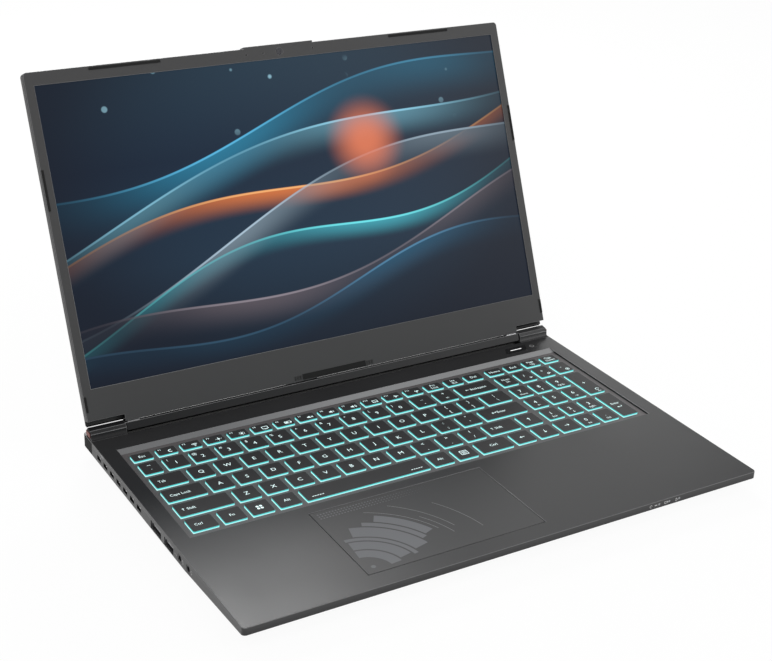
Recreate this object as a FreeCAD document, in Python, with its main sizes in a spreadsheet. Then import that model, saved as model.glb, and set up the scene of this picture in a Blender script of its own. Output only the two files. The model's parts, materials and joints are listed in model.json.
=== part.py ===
import FreeCAD, Part
import math
import os
import re
from FreeCAD import Placement, Rotation, Vector
from Sketcher import Constraint

# A 15.6 inch laptop computer, open, standing on its feet.
# Frame: X to the right, Y to the back, Z up.  The origin is on the desk under the middle of the base.
# Pieces of the lid are drawn flat about the hinge axis (X right, Y up the lid, Z out of the screen)
# and turned to the opening angle by their Placement.

DOC = FreeCAD.newDocument("laptop")
SIZES = DOC.addObject("Spreadsheet::Sheet", "sizes")

DIMENSIONS = {
    "Base, measured from its front edge and its deck": {
        "base_wide": 358, "base_deep": 237, "deck_height": 15.5, "foot_tall": 1.2,
        "wall": 1.6, "deck_thick": 1.4, "floor_thick": 1.4, "corner_round": 2.5,
        "front_wall_tall": 4.7, "rear_wall_tall": 8.9, "underside_run": 75,
        "floor_inset_front": 13.5, "floor_inset_side": 11, "floor_inset_rear": 6,
        "cover_step": 0.8, "cover_side_step": 3.5, "seam": 0.3, "fit": 0.3,
        "front_foot_x": 120, "front_foot_long": 40, "front_foot_deep": 8, "foot_margin": 8,
        "rear_foot_long": 260, "rear_foot_deep": 9, "middle_foot_long": 30, "middle_foot_deep": 8,
        "screw_head_round": 2.4, "screw_pitch": 100, "screw_margin_front": 30, "screw_margin_rear": 24,
    },
    "Hinges and the trough behind the deck": {
        "hinge_from_front": 229.6, "hinge_lift": 3.76, "trough_round": 8.0, "trough_half": 154,
        "rear_drop": 1.0, "pin_round": 1.5, "pin_play": 0.05, "knuckle_round": 2.7,
        "knuckle_long": 8, "end_gap": 0.8, "lid_open_angle": 113.24,
        "hump_foot": 7.3, "hump_tall": 6.3, "hump_rear": 3.6, "hump_end": 0.6, "hump_wall": 0.8,
        "bracket_thick": 1.6, "bracket_leg": 3, "screw_round": 1.5,
    },
    "Lid, measured from the hinge axis": {
        "lid_wide": 356.4, "lid_top": 228.8, "lid_foot": 6.2, "lid_throat": 1.1, "bezel_foot": 1.8, "lip_foot": 3.3,
        "lid_front": 2.97, "lid_thick": 6.4, "bezel_thick": 1.0, "lid_skin": 1.2,
        "view_wide": 344.2, "view_tall": 193.6, "view_foot": 26.5, "panel_border": 2.4,
        "panel_thick": 2.9, "camera_half": 26, "camera_rise": 1.2, "camera_up": 224.8,
        "lens_round": 2.4, "barrel_round": 5.6, "barrel_front": 3.6, "barrel_back": 4.6,
        "barrel_top": 0.8, "barrel_skin": 0.8, "bumper_thick": 0.5, "mic_round": 0.5,
        "bumper_x": 110.8, "bumper_long": 48.8, "bumper_deep": 1.6, "bumper_margin": 1.0,
        "foot_bumper_long": 49, "side_bumper_up": 141.5, "side_bumper_tall": 26,
        "side_bumper_wide": 1.5, "side_bumper_margin": 0.3,
    },
    "Keyboard": {
        "well_left": -168, "well_right": 167.5, "well_front": 92.4, "well_rear": 200.8,
        "deck_edge": 206, "well_deep": 1.27, "frame_thick": 1.0, "frame_flange": 2.6,
        "keys_left": -163.85, "keys_right": 96.8, "keys_front": 97.05,
        "key_wide": 14.4, "key_gap": 3.65, "key_deep": 14.1, "row_gap": 3.87,
        "small_wide": 13, "small_gap": 3.53, "small_deep": 8.7, "key_round": 1.2,
        "tilde_wide": 12.1, "tab_wide": 21, "caps_wide": 25.6, "shift_wide": 34.75,
        "ctrl_wide": 16.6, "pad_left": 102.4, "pad_wide": 12.4, "pad_gap": 3.45,
        "key_tall": 2.2, "key_travel": 1.5, "key_play": 0.3, "sheet_thick": 0.3,
        "dome_thick": 0.25, "dome_round": 2.6, "plate_thick": 0.5, "press_gap": 0.1,
    },
    "Touchpad and power button": {
        "pad_x": -36, "pad_long": 120, "pad_front": 13.1, "pad_deep": 70.7, "pad_thick": 1.4,
        "pad_sink": 0.15, "pad_click": 0.7, "bracket_rim": 3.5, "bracket_plate": 0.8,
        "button_left": 133, "button_long": 17, "button_lean": 4, "button_front": 211.2,
        "button_deep": 6.8, "button_thick": 1.6, "button_travel": 0.4,
    },
    "Openings in the walls": {
        "vent_first": 142.9, "vent_pitch": 11, "vent_long": 6.5, "vent_tall": 3, "vent_down": 5.2,
        "usb_at": 98, "usb_long": 13.2, "usb_tall": 5.2, "video_at": 117, "video_long": 15,
        "port_down": 5.4, "port_deep": 11, "port_skin": 0.3, "tongue_thick": 1.6, "port_lip": 0.4,
        "jack_rear": 82.3, "jack_front": 70.4, "jack_down": 4.8, "jack_round": 1.8,
        "jack_body": 2.9, "jack_deep": 12, "power_at": 123, "power_down": 5.2, "power_round": 2.8,
        "power_body": 3.6, "power_pin": 0.8, "power_deep": 8.4,
        "lock_at": 60, "lock_long": 7, "lock_tall": 2.6,
        "light_first": 100.4, "light_pitch": 7.85, "light_down": 2.4, "light_round": 0.9,
        "light_long": 4, "slot_long": 14, "slot_tall": 1.6, "slot_pitch": 18,
    },
    "Inside the base": {
        "fan_x": 117, "fan_from_front": 172, "fan_long": 66, "fan_deep": 62, "fan_tall": 6.8,
        "fan_skin": 0.7, "fan_low": 3.2, "fan_hole": 22, "rotor_round": 25, "hub_round": 9,
        "blade_thick": 0.9, "shaft_round": 1.5, "shaft_play": 0.05, "rotor_gap": 0.6,
        "board_thick": 1.2, "board_low": 8.4, "chip_tall": 1.2, "spreader_thick": 0.8,
        "pipe_wide": 7, "pipe_tall": 2.2, "fin_thick": 0.3, "fin_pitch": 1.5, "fin_long": 15.5,
        "battery_long": 216, "battery_deep": 68, "battery_tall": 6.4, "battery_front": 19,
        "speaker_long": 34, "speaker_deep": 52, "speaker_tall": 5.4, "speaker_gap": 1.6,
        "battery_shift": 20, "chips_from_front": 145, "processor_x": -22, "processor_wide": 24,
        "graphics_x": 24, "graphics_wide": 32, "spreader_left": 40, "spreader_right": 44,
        "spreader_deep": 40, "video_chip_x": 48, "video_chip_wide": 9, "video_chip_deep": 12,
        "video_chip_pitch_x": 16, "video_chip_pitch_y": 18, "video_chip_front": 132,
        "cards_from_front": 93, "socket_deep": 4, "card_thick": 0.8, "card_margin": 3,
        "memory_x": -112, "memory_wide": 30, "memory_pitch": 34, "memory_deep": 40,
        "drive_x": 60, "card_wide": 22, "drive_deep": 36, "radio_x": 100, "radio_deep": 30,
    },
}


def fill_sheet():
    """One row per size: its name in column A, its number in column B."""
    row = 1
    for section, sizes in DIMENSIONS.items():
        SIZES.set(f"A{row}", section)
        row += 1
        for name, number in sizes.items():
            SIZES.set(f"A{row}", name)
            SIZES.set(f"B{row}", str(number))
            SIZES.setAlias(f"B{row}", name)
            row += 1
    DOC.recompute()


fill_sheet()
WORD = re.compile(r"\b([a-z][a-z_0-9]*)\b(?!\s*\()")


def bound(text):
    """The expression with each size name pointed at the sheet."""
    return WORD.sub(r"sizes.\1", str(text))


def value(text):
    """The number that an expression comes to now."""
    return float(SIZES.evalExpression(str(text)))


# ---- places that many pieces share ----------------------------------------------------------
FRONT = "(0 - base_deep / 2)"
REAR = "(base_deep / 2)"
SIDE = "(base_wide / 2)"
DECK = "deck_height"
CEILING = "(deck_height - deck_thick)"
FLOOR = "(foot_tall + floor_thick)"
SEAM = "(deck_height - rear_wall_tall)"
HINGE_Y = f"({FRONT} + hinge_from_front)"
HINGE_Z = "(deck_height + hinge_lift)"
LID_SIDE = "(lid_wide / 2)"
LID_BACK = "(lid_front - lid_thick)"
BEZEL_BACK = "(lid_front - bezel_thick)"
PANEL_BACK = f"({BEZEL_BACK} - panel_thick)"
BARREL_HALF = "(trough_half - end_gap)"
KEY_PITCH = "(key_wide + key_gap)"
ROW_PITCH = "(key_deep + row_gap)"
SMALL_PITCH = "(small_wide + small_gap)"
PAD_PITCH = "(pad_wide + pad_gap)"
FRAME_TOP = "(deck_height - well_deep)"
FRAME_LOW = f"({CEILING} - frame_thick)"
SHEET_TOP = "(deck_height - key_tall - key_travel - press_gap)"
PLATE_TOP = f"({SHEET_TOP} - dome_thick - sheet_thick)"
PLATE_LOW = f"({PLATE_TOP} - plate_thick)"


def back(distance):
    """A place that far behind the base's front edge."""
    return f"({FRONT} + {distance})"


# ---- building blocks -------------------------------------------------------------------------
TURNS = {"x": Rotation(Vector(0, 1, 0), 90), "y": Rotation(Vector(1, 0, 0), -90), "z": Rotation()}
PLANES = {"xy": Rotation(), "yz": Rotation(Vector(1, 1, 1), 120), "xz": Rotation(Vector(1, 0, 0), 90)}
ALONG = {"xy": Vector(0, 0, 1), "yz": Vector(1, 0, 0), "xz": Vector(0, 1, 0)}


def moved(thing, x=0, y=0, z=0):
    """Bind the base point of a piece's Placement."""
    for letter, text in (("x", x), ("y", y), ("z", z)):
        thing.setExpression(f".Placement.Base.{letter}", bound(text))
    return thing


def block(x, y, z):
    """A box between two bounds on each axis."""
    box = DOC.addObject("Part::Box", "block")
    for side, (low, high) in zip(("Length", "Width", "Height"), (x, y, z)):
        box.setExpression(side, bound(f"({high}) - ({low})"))
    return moved(box, x[0], y[0], z[0])


def rod(axis, radius, span, centre):
    """A cylinder along an axis; centre gives its other two coordinates, in X, Y, Z order."""
    bar = DOC.addObject("Part::Cylinder", "rod")
    bar.setExpression("Radius", bound(radius))
    bar.setExpression("Height", bound(f"({span[1]}) - ({span[0]})"))
    bar.Placement = Placement(Vector(), TURNS[axis])
    base = list(centre)
    base.insert("xyz".index(axis), span[0])
    return moved(bar, *base)


def trace(sketch, corners):
    """A closed outline in a sketch, each corner held by its two bound distances."""
    points = [Vector(value(u), value(v), 0) for u, v in corners]
    first = sketch.GeometryCount
    last = first + len(points) - 1
    ends = points[1:] + points[:1]
    sketch.addGeometry([Part.LineSegment(a, b) for a, b in zip(points, ends)], False)
    for line in range(first, last + 1):
        follower = first if line == last else line + 1
        sketch.addConstraint(Constraint("Coincident", line, 2, follower, 1))
    for line, point, corner in zip(range(first, last + 1), points, corners):
        for kind, number, text in (("DistanceX", point.x, corner[0]), ("DistanceY", point.y, corner[1])):
            index = sketch.addConstraint(Constraint(kind, -1, 1, line, 1, number))
            sketch.setExpression(f"Constraints[{index}]", bound(text))


def prism(plane, span, *outlines):
    """Outlines drawn on a plane and extruded along its normal, from span[0] to span[1]."""
    sketch = DOC.addObject("Sketcher::SketchObject", "outline")
    sketch.Placement = Placement(Vector(), PLANES[plane])
    normal = ALONG[plane]
    letter = "xyz"[[abs(normal.x), abs(normal.y), abs(normal.z)].index(1)]
    sketch.setExpression(f".Placement.Base.{letter}", bound(span[0]))
    for corners in outlines:
        trace(sketch, corners)
    solid = DOC.addObject("Part::Extrusion", "prism")
    solid.Base = sketch
    solid.DirMode = "Custom"
    solid.Dir = normal
    solid.Solid = True
    solid.setExpression("LengthFwd", bound(f"({span[1]}) - ({span[0]})"))
    return solid


def rectangle(x, y):
    """Corners of an upright rectangle, anticlockwise."""
    return [(x[0], y[0]), (x[1], y[0]), (x[1], y[1]), (x[0], y[1])]


def fused(*pieces):
    joined = DOC.addObject("Part::MultiFuse", "fused")
    joined.Shapes = list(pieces)
    joined.Refine = True
    return joined


def shared(*pieces):
    overlap = DOC.addObject("Part::MultiCommon", "shared")
    overlap.Shapes = list(pieces)
    return overlap


def cut(base, *tools):
    result = DOC.addObject("Part::Cut", "cut")
    result.Base = base
    result.Tool = tools[0] if len(tools) == 1 else fused(*tools)
    return result


def grouped(*pieces):
    """Separate solids of one node."""
    group = DOC.addObject("Part::Compound", "group")
    group.Links = list(pieces)
    return group


def rounded(base, radius, pick):
    """A fillet on the straight edges that pick accepts by direction and middle point."""
    base.recompute(True)
    chosen = []
    for number, edge in enumerate(base.Shape.Edges, 1):
        if not isinstance(edge.Curve, Part.Line):
            continue
        ends = edge.Vertexes
        run = ends[-1].Point - ends[0].Point
        if pick(run.normalize(), edge.CenterOfMass):
            chosen.append((number, value(radius), value(radius)))
    fillet = DOC.addObject("Part::Fillet", "rounded")
    fillet.Base = base
    fillet.Edges = chosen
    return fillet


def upright(run, middle):
    return abs(run.z) > 0.99


NODES = []


def node(label, piece):
    """Register a finished piece under its own name."""
    piece.Label = label
    NODES.append(piece)
    return piece


def lid_node(label, piece):
    """A lid piece, turned about the hinge axis to the opening angle."""
    turned = grouped(piece)
    turned.Placement = Placement(Vector(), Rotation(Vector(1, 0, 0), 180 - value("lid_open_angle")))
    moved(turned, 0, HINGE_Y, HINGE_Z)
    turned.setExpression(".Placement.Rotation.Angle", bound("180 - lid_open_angle"))
    return node(label, turned)


def sided(sign, near, far):
    """The span from near to far on the left (-1) or right (1) of the middle."""
    if sign > 0:
        return (near, far)
    return (f"0 - ({far})", f"0 - ({near})")


def both_ways(half):
    """The span that is centred on zero."""
    return (f"0 - ({half})", half)


# ---- outer case --------------------------------------------------------------------------------
def top_case():
    """Deck, walls, keyboard well, touchpad cut-out and the trough that the lid turns in."""
    side_view = [
        (FRONT, DECK), (FRONT, f"{DECK} - front_wall_tall"), (back("underside_run"), SEAM),
        (REAR, SEAM), (REAR, DECK),
    ]
    outer = rounded(prism("yz", both_ways(SIDE), side_view), "corner_round", upright)
    half = f"{SIDE} - wall"
    under_trough = f"{HINGE_Z} - trough_round - deck_thick"
    trough_front = f"{HINGE_Y} - trough_round - wall"
    rear = f"{REAR} - wall"
    hump_zone = "trough_half + wall"
    hollows = [
        block(both_ways(half), (f"{FRONT} + wall", trough_front), (0, CEILING)),
        block(both_ways(half), (trough_front, rear), (0, under_trough)),
    ]
    for sign in (-1, 1):
        hollows.append(block(sided(sign, hump_zone, half), (trough_front, rear), (0, CEILING)))
    top = f"{DECK} + 2 * hinge_lift"
    trough = rod("x", "trough_round", both_ways("trough_half"), (HINGE_Y, HINGE_Z))
    behind = block(both_ways("trough_half"), (HINGE_Y, f"{REAR} + wall"), (f"{DECK} - rear_drop", top))
    return cut(outer, *hollows, trough, behind, *deck_openings(), *wall_openings())


def well_outline():
    """Side view of the keyboard well, with the slope up to the rear deck."""
    rise = "well_deep / (deck_edge - well_rear)"
    return [
        (back("well_front"), f"{DECK} - 2 * deck_thick"), (back("well_rear"), f"{DECK} - 2 * deck_thick"),
        (back("well_rear"), FRAME_TOP), (back("deck_edge + wall"), f"{DECK} + wall * {rise}"),
        (back("deck_edge + wall"), f"{DECK} + 2"), (back("well_front"), f"{DECK} + 2"),
    ]


def button_outline(grow):
    """Leaning outline of the power button; grow is the clearance round it."""
    front = back(f"button_front - {grow}")
    rear = back(f"button_front + button_deep + {grow}")
    left = f"button_left - {grow}"
    right = f"button_left + button_long + {grow}"
    return [(left, front), (right, front), (f"{right} + button_lean", rear), (f"{left} + button_lean", rear)]


def deck_openings():
    through = (f"{DECK} - 2 * deck_thick", f"{DECK} + 1")
    well = prism("yz", ("well_left", "well_right"), well_outline())
    pad_half = "(pad_long / 2 + fit)"
    pad = block(
        (f"pad_x - {pad_half}", f"pad_x + {pad_half}"),
        (back("pad_front - fit"), back("pad_front + pad_deep + fit")), through,
    )
    button = prism("xy", through, button_outline("fit"))
    legs = [
        block(sided(sign, "trough_half + 4", f"{SIDE} - 3"), HUMP_HOLE, through) for sign in (-1, 1)
    ]
    return [well, pad, button, *legs]


HUMP_HOLE = (f"{HINGE_Y} - 2 * pin_round - 0.6", f"{HINGE_Y} + 2 * pin_round + 0.6")


def slot_row(x, count, first, pitch, long, tall, down):
    """Upright slots through a side wall, one behind the other."""
    low = f"{DECK} - {down} - {tall} / 2"
    high = f"{DECK} - {down} + {tall} / 2"
    slots = []
    for index in range(count):
        middle = back(f"({first} + {index} * {pitch})")
        slots.append(rectangle((f"{middle} - {long} / 2", f"{middle} + {long} / 2"), (low, high)))
    return prism("yz", x, *slots)


def wall_openings():
    """Vents, ports, lock slot, status lights and rear vents."""
    left = (f"0 - {SIDE} - 1", f"wall + 0.2 - {SIDE}")
    right = (f"{SIDE} - wall - 0.2", f"{SIDE} + 1")
    openings = [
        slot_row(side, 7, "vent_first", "vent_pitch", "vent_long", "vent_tall", "vent_down")
        for side in (left, right)
    ]
    openings.append(slot_row(left, 1, "usb_at", 0, "usb_long", "usb_tall", "port_down"))
    openings.append(slot_row(left, 1, "video_at", 0, "video_long", "usb_tall", "port_down"))
    openings.append(slot_row(right, 1, "usb_at", 0, "usb_long", "usb_tall", "port_down"))
    openings.append(slot_row(right, 1, "lock_at", 0, "lock_long", "lock_tall", "port_down"))
    for place in ("jack_rear", "jack_front"):
        openings.append(rod("x", "jack_body", left, (back(place), f"{DECK} - jack_down")))
    openings.append(rod("x", "power_body", right, (back("power_at"), f"{DECK} - power_down")))
    for index in range(3):
        middle = f"light_first + {index} * light_pitch"
        openings.append(
            rod("y", "light_round", (f"{FRONT} - 1", f"{FRONT} + wall + 1"), (middle, f"{DECK} - light_down"))
        )
    rear = (f"{REAR} - wall - 1", f"{REAR} + 1")
    height = (f"{SEAM} + wall", f"{SEAM} + wall + slot_tall")
    slots = []
    for sign in (-1, 1):
        for index in range(4):
            middle = f"({sign} * (fan_x + {index - 2} * slot_pitch))"
            slots.append(rectangle((f"{middle} - slot_long / 2", f"{middle} + slot_long / 2"), height))
    openings.append(prism("xz", rear, *slots))
    return openings


def tub(inset, low):
    """Solid with the bottom cover's slopes; inset brings every face inward."""
    slope = "(rear_wall_tall - front_wall_tall) / underside_run"
    side_view = [
        (back(f"cover_step + {inset}"), f"{DECK} - front_wall_tall - cover_step * {slope}"),
        (back(f"floor_inset_front + {inset}"), low),
        (f"{REAR} - floor_inset_rear - {inset}", low),
        (f"{REAR} - cover_step - {inset}", SEAM),
        (back("underside_run"), SEAM),
    ]
    foot = f"{SIDE} - floor_inset_side - {inset}"
    brim = f"{SIDE} - cover_side_step - {inset}"
    front_view = [
        (f"0 - ({foot})", low), (foot, low), (brim, f"{SEAM} + front_wall_tall"),
        (f"0 - ({brim})", f"{SEAM} + front_wall_tall"),
    ]
    return shared(prism("yz", both_ways(SIDE), side_view), prism("xz", (FRONT, REAR), front_view))


def bottom_cover():
    """Tub that closes the base from below, with intake slots under both fans."""
    intakes = []
    for sign in (-1, 1):
        for row in range(5):
            y = back(f"(fan_from_front + {row - 2} * 9)")
            x = f"({sign} * fan_x)"
            intakes.append(rectangle((f"{x} - 22", f"{x} + 22"), (f"{y} - 1.5", f"{y} + 1.5")))
    slots = prism("xy", ("foot_tall - 1", f"{FLOOR} + 1"), *intakes)
    hollow = tub("wall", FLOOR)
    return cut(tub("0", "foot_tall"), hollow, slots)


def rubber_feet():
    """Two long feet at the front, one along the back and a short one in the middle."""
    tall = (0, "foot_tall")
    near, far = "front_foot_x - front_foot_long / 2", "front_foot_x + front_foot_long / 2"
    low = "floor_inset_front + foot_margin"
    front = [
        block(sided(sign, near, far), (back(f"({low})"), back(f"({low} + front_foot_deep)")), tall)
        for sign in (-1, 1)
    ]
    rear_edge = f"{REAR} - floor_inset_rear - foot_margin"
    rear = block(both_ways("rear_foot_long / 2"), (f"{rear_edge} - rear_foot_deep", rear_edge), tall)
    middle = block(both_ways("middle_foot_long / 2"), both_ways("middle_foot_deep / 2"), tall)
    return grouped(*front, rear, middle)


def cover_screws():
    """Screw heads let into the floor of the bottom cover, standing 0.2 proud."""
    heads = []
    for step in (-1.5, -0.5, 0.5, 1.5):
        for y in ("floor_inset_front + screw_margin_front", "base_deep - floor_inset_rear - screw_margin_rear"):
            place = (f"{step} * screw_pitch", back(y))
            heads.append(rod("z", "screw_head_round", ("foot_tall - 0.2", "foot_tall"), place))
    return grouped(*heads)


def hump_outline(inset):
    """Side view of a hinge cover, or of its hollow when inset from the skin."""
    return [
        (f"{HINGE_Y} - hump_foot + 1.7 * {inset}", DECK),
        (f"{HINGE_Y} - 0.77 * hump_foot + 1.2 * {inset}", f"{DECK} + 0.5"),
        (f"{HINGE_Y} - 0.71 * hump_foot + {inset}", f"{DECK} + 0.6 * hump_tall"),
        (f"{HINGE_Y} - 0.47 * hump_foot + 0.7 * {inset}", f"{DECK} + 0.9 * hump_tall - 0.8 * {inset}"),
        (f"{HINGE_Y} + 0.6", f"{DECK} + hump_tall - {inset}"),
        (f"{HINGE_Y} + 0.5 * hump_rear", f"{DECK} + 0.9 * hump_tall - {inset}"),
        (f"{HINGE_Y} + hump_rear - 0.2 - {inset}", f"{DECK} + 0.5 * hump_tall"),
        (f"{HINGE_Y} + hump_rear - {inset}", DECK),
    ]


def hinge_cover(sign):
    """Cap that stands on the deck corner and hides the hinge."""
    outer_end = f"{SIDE} - hump_end"
    cap = rounded(
        prism("yz", sided(sign, "trough_half", outer_end), hump_outline("0")), "1",
        lambda run, middle: abs(middle.x) > value(outer_end) - 0.1 and middle.z > value(DECK) + 1,
    )
    hollow = prism(
        "yz", sided(sign, "trough_half + hump_wall", f"{outer_end} - hump_wall"), hump_outline("hump_wall"),
    )
    pin_way = rod(
        "x", "pin_round + fit", sided(sign, "trough_half - 1", "trough_half + hump_wall + 1"),
        (HINGE_Y, HINGE_Z),
    )
    return cut(cap, hollow, pin_way)


def accent_inserts():
    """Coloured plates on the outer ends of the hinge covers."""
    plates = []
    for sign in (-1, 1):
        x = sided(sign, f"{SIDE} - hump_end", f"{SIDE} - hump_end / 2")
        y = (f"{HINGE_Y} - 0.57 * hump_foot", f"{HINGE_Y} + 0.6 * hump_rear")
        plates.append(block(x, y, (f"{DECK} + 0.2 * hump_tall", f"{DECK} + 0.7 * hump_tall")))
    return grouped(*plates)


def hinge_bracket(sign):
    """Steel foot under the deck corner, a leg up into the hinge cover, and the hinge pin."""
    foot = block(
        sided(sign, "trough_half + wall + fit", f"{SIDE} - wall - fit"),
        (f"{HINGE_Y} - 16", f"{HINGE_Y} + 5"), (f"{CEILING} - bracket_thick", CEILING),
    )
    leg_in = "trough_half + 9"
    leg = block(
        sided(sign, leg_in, f"{leg_in} + bracket_leg"), (f"{HINGE_Y} - pin_round", f"{HINGE_Y} + pin_round"),
        (f"{CEILING} - bracket_thick", HINGE_Z),
    )
    pin = rod(
        "x", "pin_round", sided(sign, f"{BARREL_HALF} - lid_skin - knuckle_long", f"{leg_in} + bracket_leg"),
        (HINGE_Y, HINGE_Z),
    )
    return fused(foot, leg, pin)


def build_case():
    node("top_case", top_case())
    node("bottom_cover", bottom_cover())
    node("rubber_feet", rubber_feet())
    node("cover_screws", cover_screws())
    for side, sign in (("left", -1), ("right", 1)):
        node(f"hinge_cover_{side}", hinge_cover(sign))
        node(f"hinge_bracket_{side}", hinge_bracket(sign))
    node("accent_inserts", accent_inserts())


# ---- lid ---------------------------------------------------------------------------------------
def lid_slab(low, high, foot):
    """Outline of the lid with its corner cut-outs and the camera rise, between two depths."""
    main = block(both_ways(LID_SIDE), ("lid_foot", "lid_top"), (low, high))
    corner = rounded(
        main, "corner_round", lambda run, middle: upright(run, middle) and middle.y > value("lid_top") - 1,
    )
    throat = block(both_ways(BARREL_HALF), (foot, "lid_foot + 5"), (low, high))
    rise = block(both_ways("camera_half"), ("lid_top - 5", "lid_top + camera_rise"), (low, high))
    return fused(corner, throat, rise)


def knuckle_ways():
    """Room for both hinge knuckles in the foot of the cover and of the bezel."""
    near = f"{BARREL_HALF} - lid_skin - knuckle_long - fit"
    return [
        rod("x", "knuckle_round + fit", sided(sign, near, f"{BARREL_HALF} + 1"), (0, 0)) for sign in (-1, 1)
    ]


def lid_cover():
    """Rear shell of the lid with its rim."""
    floor = f"{LID_BACK} + lid_skin"
    main = block(
        both_ways(f"{LID_SIDE} - lid_skin"), ("lid_foot + lid_skin", "lid_top - lid_skin"),
        (floor, f"{BEZEL_BACK} + 1"),
    )
    throat = block(both_ways(f"{BARREL_HALF} - lid_skin"), (0, "lid_foot + 5"), (floor, f"{BEZEL_BACK} + 1"))
    lips = [
        block(sided(sign, f"{BARREL_HALF}", LID_SIDE), ("lip_foot", "lid_foot + 1"), (LID_BACK, floor))
        for sign in (-1, 1)
    ]
    slab = fused(lid_slab(LID_BACK, BEZEL_BACK, "lid_throat"), *lips)
    return cut(slab, main, throat, *knuckle_ways())


def display_bezel():
    """Frame round the screen, with the camera and microphone holes."""
    depth = (f"{BEZEL_BACK} - 1", "lid_front + 1")
    window = block(both_ways("view_wide / 2"), ("view_foot", "view_foot + view_tall"), depth)
    holes = [rod("z", "lens_round + 0.1", depth, (0, "camera_up"))]
    for x in (-24.9, -12.3, 25.2):
        holes.append(rod("z", "mic_round", depth, (x, "camera_up")))
    return cut(lid_slab(BEZEL_BACK, "lid_front", "bezel_foot"), window, *holes, *knuckle_ways())


def display_panel():
    return block(
        both_ways("view_wide / 2 + panel_border"), ("view_foot - panel_border", "view_foot + view_tall + 2"),
        (PANEL_BACK, BEZEL_BACK),
    )


def camera_module():
    """Camera board with its lens barrel in the bezel's hole."""
    board = block(both_ways("20"), ("camera_up - 2", "camera_up + 2.4"), (f"{PANEL_BACK} + 1", f"{BEZEL_BACK}"))
    lens = rod("z", "lens_round", (f"{BEZEL_BACK} - 0.5", "lid_front - 0.2"), (0, "camera_up"))
    return fused(board, lens)


def bezel_bumpers():
    """Thin strips that the closed lid rests on."""
    tall = ("lid_front", "lid_front + bumper_thick")
    top = "lid_top - bumper_margin"
    near, far = "bumper_x - bumper_long / 2", "bumper_x + bumper_long / 2"
    strips = [block(both_ways("foot_bumper_long / 2"), ("bezel_foot + 0.6", "lid_foot"), tall)]
    for sign in (-1, 1):
        strips.append(block(sided(sign, near, far), (f"{top} - bumper_deep", top), tall))
        outer = f"{LID_SIDE} - side_bumper_margin"
        x = sided(sign, f"{outer} - side_bumper_wide", outer)
        strips.append(block(x, ("side_bumper_up", "side_bumper_up + side_bumper_tall"), tall))
        strips.append(block(x, ("lid_foot + 6", "lid_foot + 16"), tall))
    return grouped(*strips)


def hinge_barrel():
    """Rounded cover along the lid's foot, hollow for the hinge arms and the cable."""
    span = both_ways(BARREL_HALF)
    outer = shared(
        rod("x", "barrel_round", span, (0, 0)),
        block(span, ("0 - barrel_round", "barrel_top"), ("0 - barrel_back", "barrel_front")),
    )
    long = both_ways(f"{BARREL_HALF} + 1")
    bore = shared(
        rod("x", "barrel_round - 1.2", long, (0, 0)),
        block(
            long, ("0 - barrel_round", "barrel_top + 1"),
            ("barrel_skin - barrel_back", "barrel_front - barrel_skin"),
        ),
    )
    return cut(outer, bore)


def lid_hinge_arm(sign):
    """Knuckle on the hinge pin and the arm that it carries up between panel and cover."""
    outer_end = f"{BARREL_HALF} - lid_skin - 0.1"
    span = sided(sign, f"{outer_end} - knuckle_long", outer_end)
    knuckle = rod("x", "knuckle_round", span, (0, 0))
    arm = block(span, (0, "view_foot + 40"), (f"{LID_BACK} + lid_skin", f"{LID_BACK} + lid_skin + 1"))
    bore = rod(
        "x", "pin_round + pin_play", sided(sign, f"{outer_end} - knuckle_long - 1", f"{outer_end} + 1"), (0, 0),
    )
    return cut(fused(knuckle, arm), bore)


def display_cable():
    """Flat cable from the panel's foot down the back of the barrel."""
    z = (f"{LID_BACK} + lid_skin", f"{LID_BACK} + lid_skin + 0.6")
    return block((-36, -12), ("0 - 2", "view_foot + 14"), z)


def build_lid():
    lid_node("lid_cover", lid_cover())
    lid_node("display_bezel", display_bezel())
    lid_node("display_panel", display_panel())
    lid_node("camera_module", camera_module())
    lid_node("bezel_bumpers", bezel_bumpers())
    lid_node("hinge_barrel", hinge_barrel())
    for side, sign in (("left", -1), ("right", 1)):
        lid_node(f"lid_hinge_arm_{side}", lid_hinge_arm(sign))
    lid_node("display_cable", display_cable())


# ---- keyboard ----------------------------------------------------------------------------------
def row_front(row):
    """Front edge of a key row; row 0 is nearest the palm rest, row 5 is the low function row."""
    return back(f"(keys_front + {row} * {ROW_PITCH})")


def pad_column(column):
    return f"(pad_left + {column} * {PAD_PITCH})"


def keys(left, row, wide="key_wide", deep="key_deep", count=1, pitch=KEY_PITCH):
    """A run of equal keys in one row."""
    return {
        "left": left, "front": row_front(row), "wide": wide, "deep": deep, "count": count, "pitch": pitch,
    }


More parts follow.
